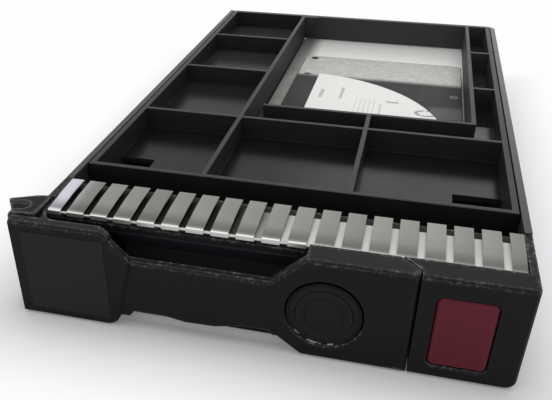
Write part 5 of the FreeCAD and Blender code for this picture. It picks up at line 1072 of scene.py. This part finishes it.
class FinishFasteners(bpy.types.Operator):
    """Screws, the hinge pin and coil springs"""

    bl_idname = "drive_tray.finish_fasteners"
    bl_label = "Screws, pins and springs"

    black_heads = (8, 4)  # blackened heads of the cover screws, ahead of the rearmost edge

    def execute(self, context):
        steel = colours().screw_metal
        plated = coated_metal("screw_metal", steel, 0.3, streak=(0.6, 0.6, 0.6), depth=0.004)
        dress(plated, "pivot_pin", "rail_screws", "drive_screws", "board_screws")
        self.cover_screws()
        wire = coated_metal("wire_metal", tone(190, 190, 192), 0.26, streak=(1.0, 1.0, 0.2))
        dress(wire, "lever_spring", "button_spring", "latch_spring")
        for joint in frame["record"]["behaviour"]["joints"]:
            for spring in joint.get("deforming_nodes", []):
                self.squeezed(joint, spring)
        return {"FINISHED"}

    def squeezed(self, joint, spring):
        """A copy of the spring, carried by its joint's parent body, stands in for the rigid spring,
        which is hidden.
        """
        node = spring["node"]
        letter = spring["mode"][-1]
        axis = "xyz".index(letter)
        fixed = [0.0, 0.0, 0.0]
        fixed[axis] = spring[f"fixed_end_{letter}_m"]
        low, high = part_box(node)
        length = max(abs(high[axis] - fixed[axis]), abs(low[axis] - fixed[axis]))
        travel = max(abs(v) for v in joint["range_m"])
        coil = bpy.data.objects.new(node + "_coil", frame["nodes"][node].data.copy())
        bpy.context.scene.collection.objects.link(coil)
        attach(coil, joint["parent"])
        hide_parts(node)
        1 - travel / length
        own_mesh(coil)

    def cover_screws(self):
        """Blackened heads at the rear of the cover and paler ones further forward."""
        s = Surface("cover_screw_metal")
        high = box_mm("cover_screws")[1]
        grain = s.noise(0.4, FINE)
        rear = s.y.rise(*short_of(high.y, self.black_heads))
        shade = s.blend(rear, tone(104, 104, 104), tone(34, 34, 35))
        edge = s.edges(0.2, 3.0) * (0.2 + grain * 0.3)
        lightened_edges = s.blend(edge, shade, tone(140, 140, 140))
        sheen = 0.45 + grain * 0.1
        made = s.finish(lightened_edges, sheen, s.bump(grain, 0.003), metal=0.3, specular_ior_level=0.2)
        dress(made, "cover_screws")


# ------------------------------------------------------------------ floor, light and camera

class LayStage(bpy.types.Operator):
    """Pale floor, soft light from above and the camera"""

    bl_idname = "drive_tray.lay_stage"
    bl_label = "Floor, light and camera"

    # Places and sizes in metres.
    floor_drop = 0.0002  # keeps the floor clear of the tray's underside
    top_place = Vector((-0.1, 0.1, 1.0))
    top_size = 0.8
    rear_place = Vector((0.06, 0.95, 0.38))
    rear_size = 0.4
    rear_share = 0.25  # of the top lamp's power
    camera_place = (0.027698, -0.200921, 0.103322)
    camera_turn = (57.302, 0.245, 14.562)  # degrees
    camera_shift = (0.0764, 0.0689)
    camera_start = 0.01
    sensor_width = 36  # millimetres

    near_glow = 0.08  # share of plain white in the floor, close to the tray
    far_glow = 0.9  # and how much is added further out
    glow_fade = (-4, 30)  # millimetres from the tray's box, where the white comes in

    def execute(self, context):
        power = sizes().lamp_power
        self.floor()
        self.world(context)
        self.lamp("top_light", self.top_place, self.top_size, power)
        self.lamp("rear_light", self.rear_place, self.rear_size, power * self.rear_share)
        self.camera(context)
        context.scene.view_settings.view_transform = "Standard"
        return {"FINISHED"}

    def seen(self, f):
        """1 where the camera, a reflection or a clear piece looks at it."""
        kinds = ("Is Camera Ray", "Is Glossy Ray", "Is Transmission Ray")
        camera, glossy, clear = (f.node("ShaderNodeLightPath", output=kind) for kind in kinds)
        return camera.most(glossy).most(clear)

    def floor(self):
        reach = sizes().floor_reach
        mesh = bpy.data.meshes.new("floor")
        level = CAD_BOX[0].z - self.floor_drop
        signs = ((-1, -1), (1, -1), (1, 1), (-1, 1))
        mesh.from_pydata([(x * reach, y * reach, level) for x, y in signs], [], [(0, 1, 2, 3)])
        floor = bpy.data.objects.new("floor", mesh)
        bpy.context.scene.collection.objects.link(floor)
        f = Surface("floor_white")
        half = (CAD_BOX[1] - CAD_BOX[0]) / 2 / MM
        away = (abs(f.x) - half.x).most(abs(f.y) - half.y)
        share = self.near_glow + away.rise(*self.glow_fade) * self.far_glow
        pale = f.node("ShaderNodeBsdfDiffuse", {}, {"Color": rgba(tone(236, 236, 236))})
        glow = f.node("ShaderNodeEmission", {}, {"Color": WHITE, "Strength": 1.0})
        mixed = f.node("ShaderNodeMixShader", {}, {0: self.seen(f) * share, 1: pale, 2: glow})
        f.node("ShaderNodeOutputMaterial", {}, {0: mixed})
        mesh.materials.append(f.owner)

    def world(self, context):
        """Even white light, and plain white where it is seen."""
        world = bpy.data.worlds.new("soft_white")
        context.scene.world = world
        f = Finish(world)
        level = sizes().sky_level
        strength = self.seen(f) * (1 - level) + level
        sky = f.node("ShaderNodeBackground", {}, {"Color": WHITE, "Strength": strength})
        f.node("ShaderNodeOutputWorld", {}, {0: sky})

    def lamp(self, name, place, size, power):
        """A square lamp that looks at the origin of the CAD frame."""
        data = bpy.data.lights.new(name, "AREA")
        data.size = size
        data.energy = power
        lamp = bpy.data.objects.new(name, data)
        lamp.location = place
        lamp.rotation_euler = place.to_track_quat("Z", "Y").to_euler()
        bpy.context.scene.collection.objects.link(lamp)

    def camera(self, context):
        data = bpy.data.cameras.new("camera")
        data.lens = sizes().lens
        data.sensor_width = self.sensor_width
        data.shift_x, data.shift_y = self.camera_shift
        data.clip_start = self.camera_start
        camera = bpy.data.objects.new("camera", data)
        camera.location = self.camera_place
        camera.rotation_euler = [math.radians(angle) for angle in self.camera_turn]
        context.scene.collection.objects.link(camera)
        context.scene.camera = camera


# ------------------------------------------------------------------ panel and start

class TrayPanel(bpy.types.Panel):
    """Lists the steps and the settings in the sidebar"""

    bl_idname = "VIEW3D_PT_drive_tray"
    bl_label = "Drive Tray"
    bl_space_type = "VIEW_3D"
    bl_region_type = "UI"
    bl_category = "Drive Tray"

    def draw(self, context):
        for step in STEPS:
            self.layout.operator(step.bl_idname)
        for group in (context.scene.tray_colours, context.scene.tray_sizes):
            for name in group.__annotations__:
                self.layout.prop(group, name)


STEPS = (
    FinishFrame,
    FinishBezel,
    FinishRails,
    FinishFingers,
    FinishLever,
    FinishStatusLights,
    FinishButton,
    FinishDriveCase,
    FinishLabels,
    FinishDiscs,
    FinishHeadArm,
    FinishMotor,
    FinishElectronics,
    FinishFasteners,
    LayStage,
)
CLASSES = (TrayColours, TraySizes) + STEPS + (TrayPanel,)


def register():
    for made in CLASSES:
        bpy.utils.register_class(made)
    bpy.types.Scene.tray_colours = bpy.props.PointerProperty(type=TrayColours)
    bpy.types.Scene.tray_sizes = bpy.props.PointerProperty(type=TraySizes)


def unregister():
    del bpy.types.Scene.tray_sizes
    del bpy.types.Scene.tray_colours
    for made in reversed(CLASSES):
        bpy.utils.unregister_class(made)


def main():
    register()
    for step in STEPS:
        family, name = step.bl_idname.split(".")
        getattr(getattr(bpy.ops, family), name)()


if __name__ == "__main__":
    main()
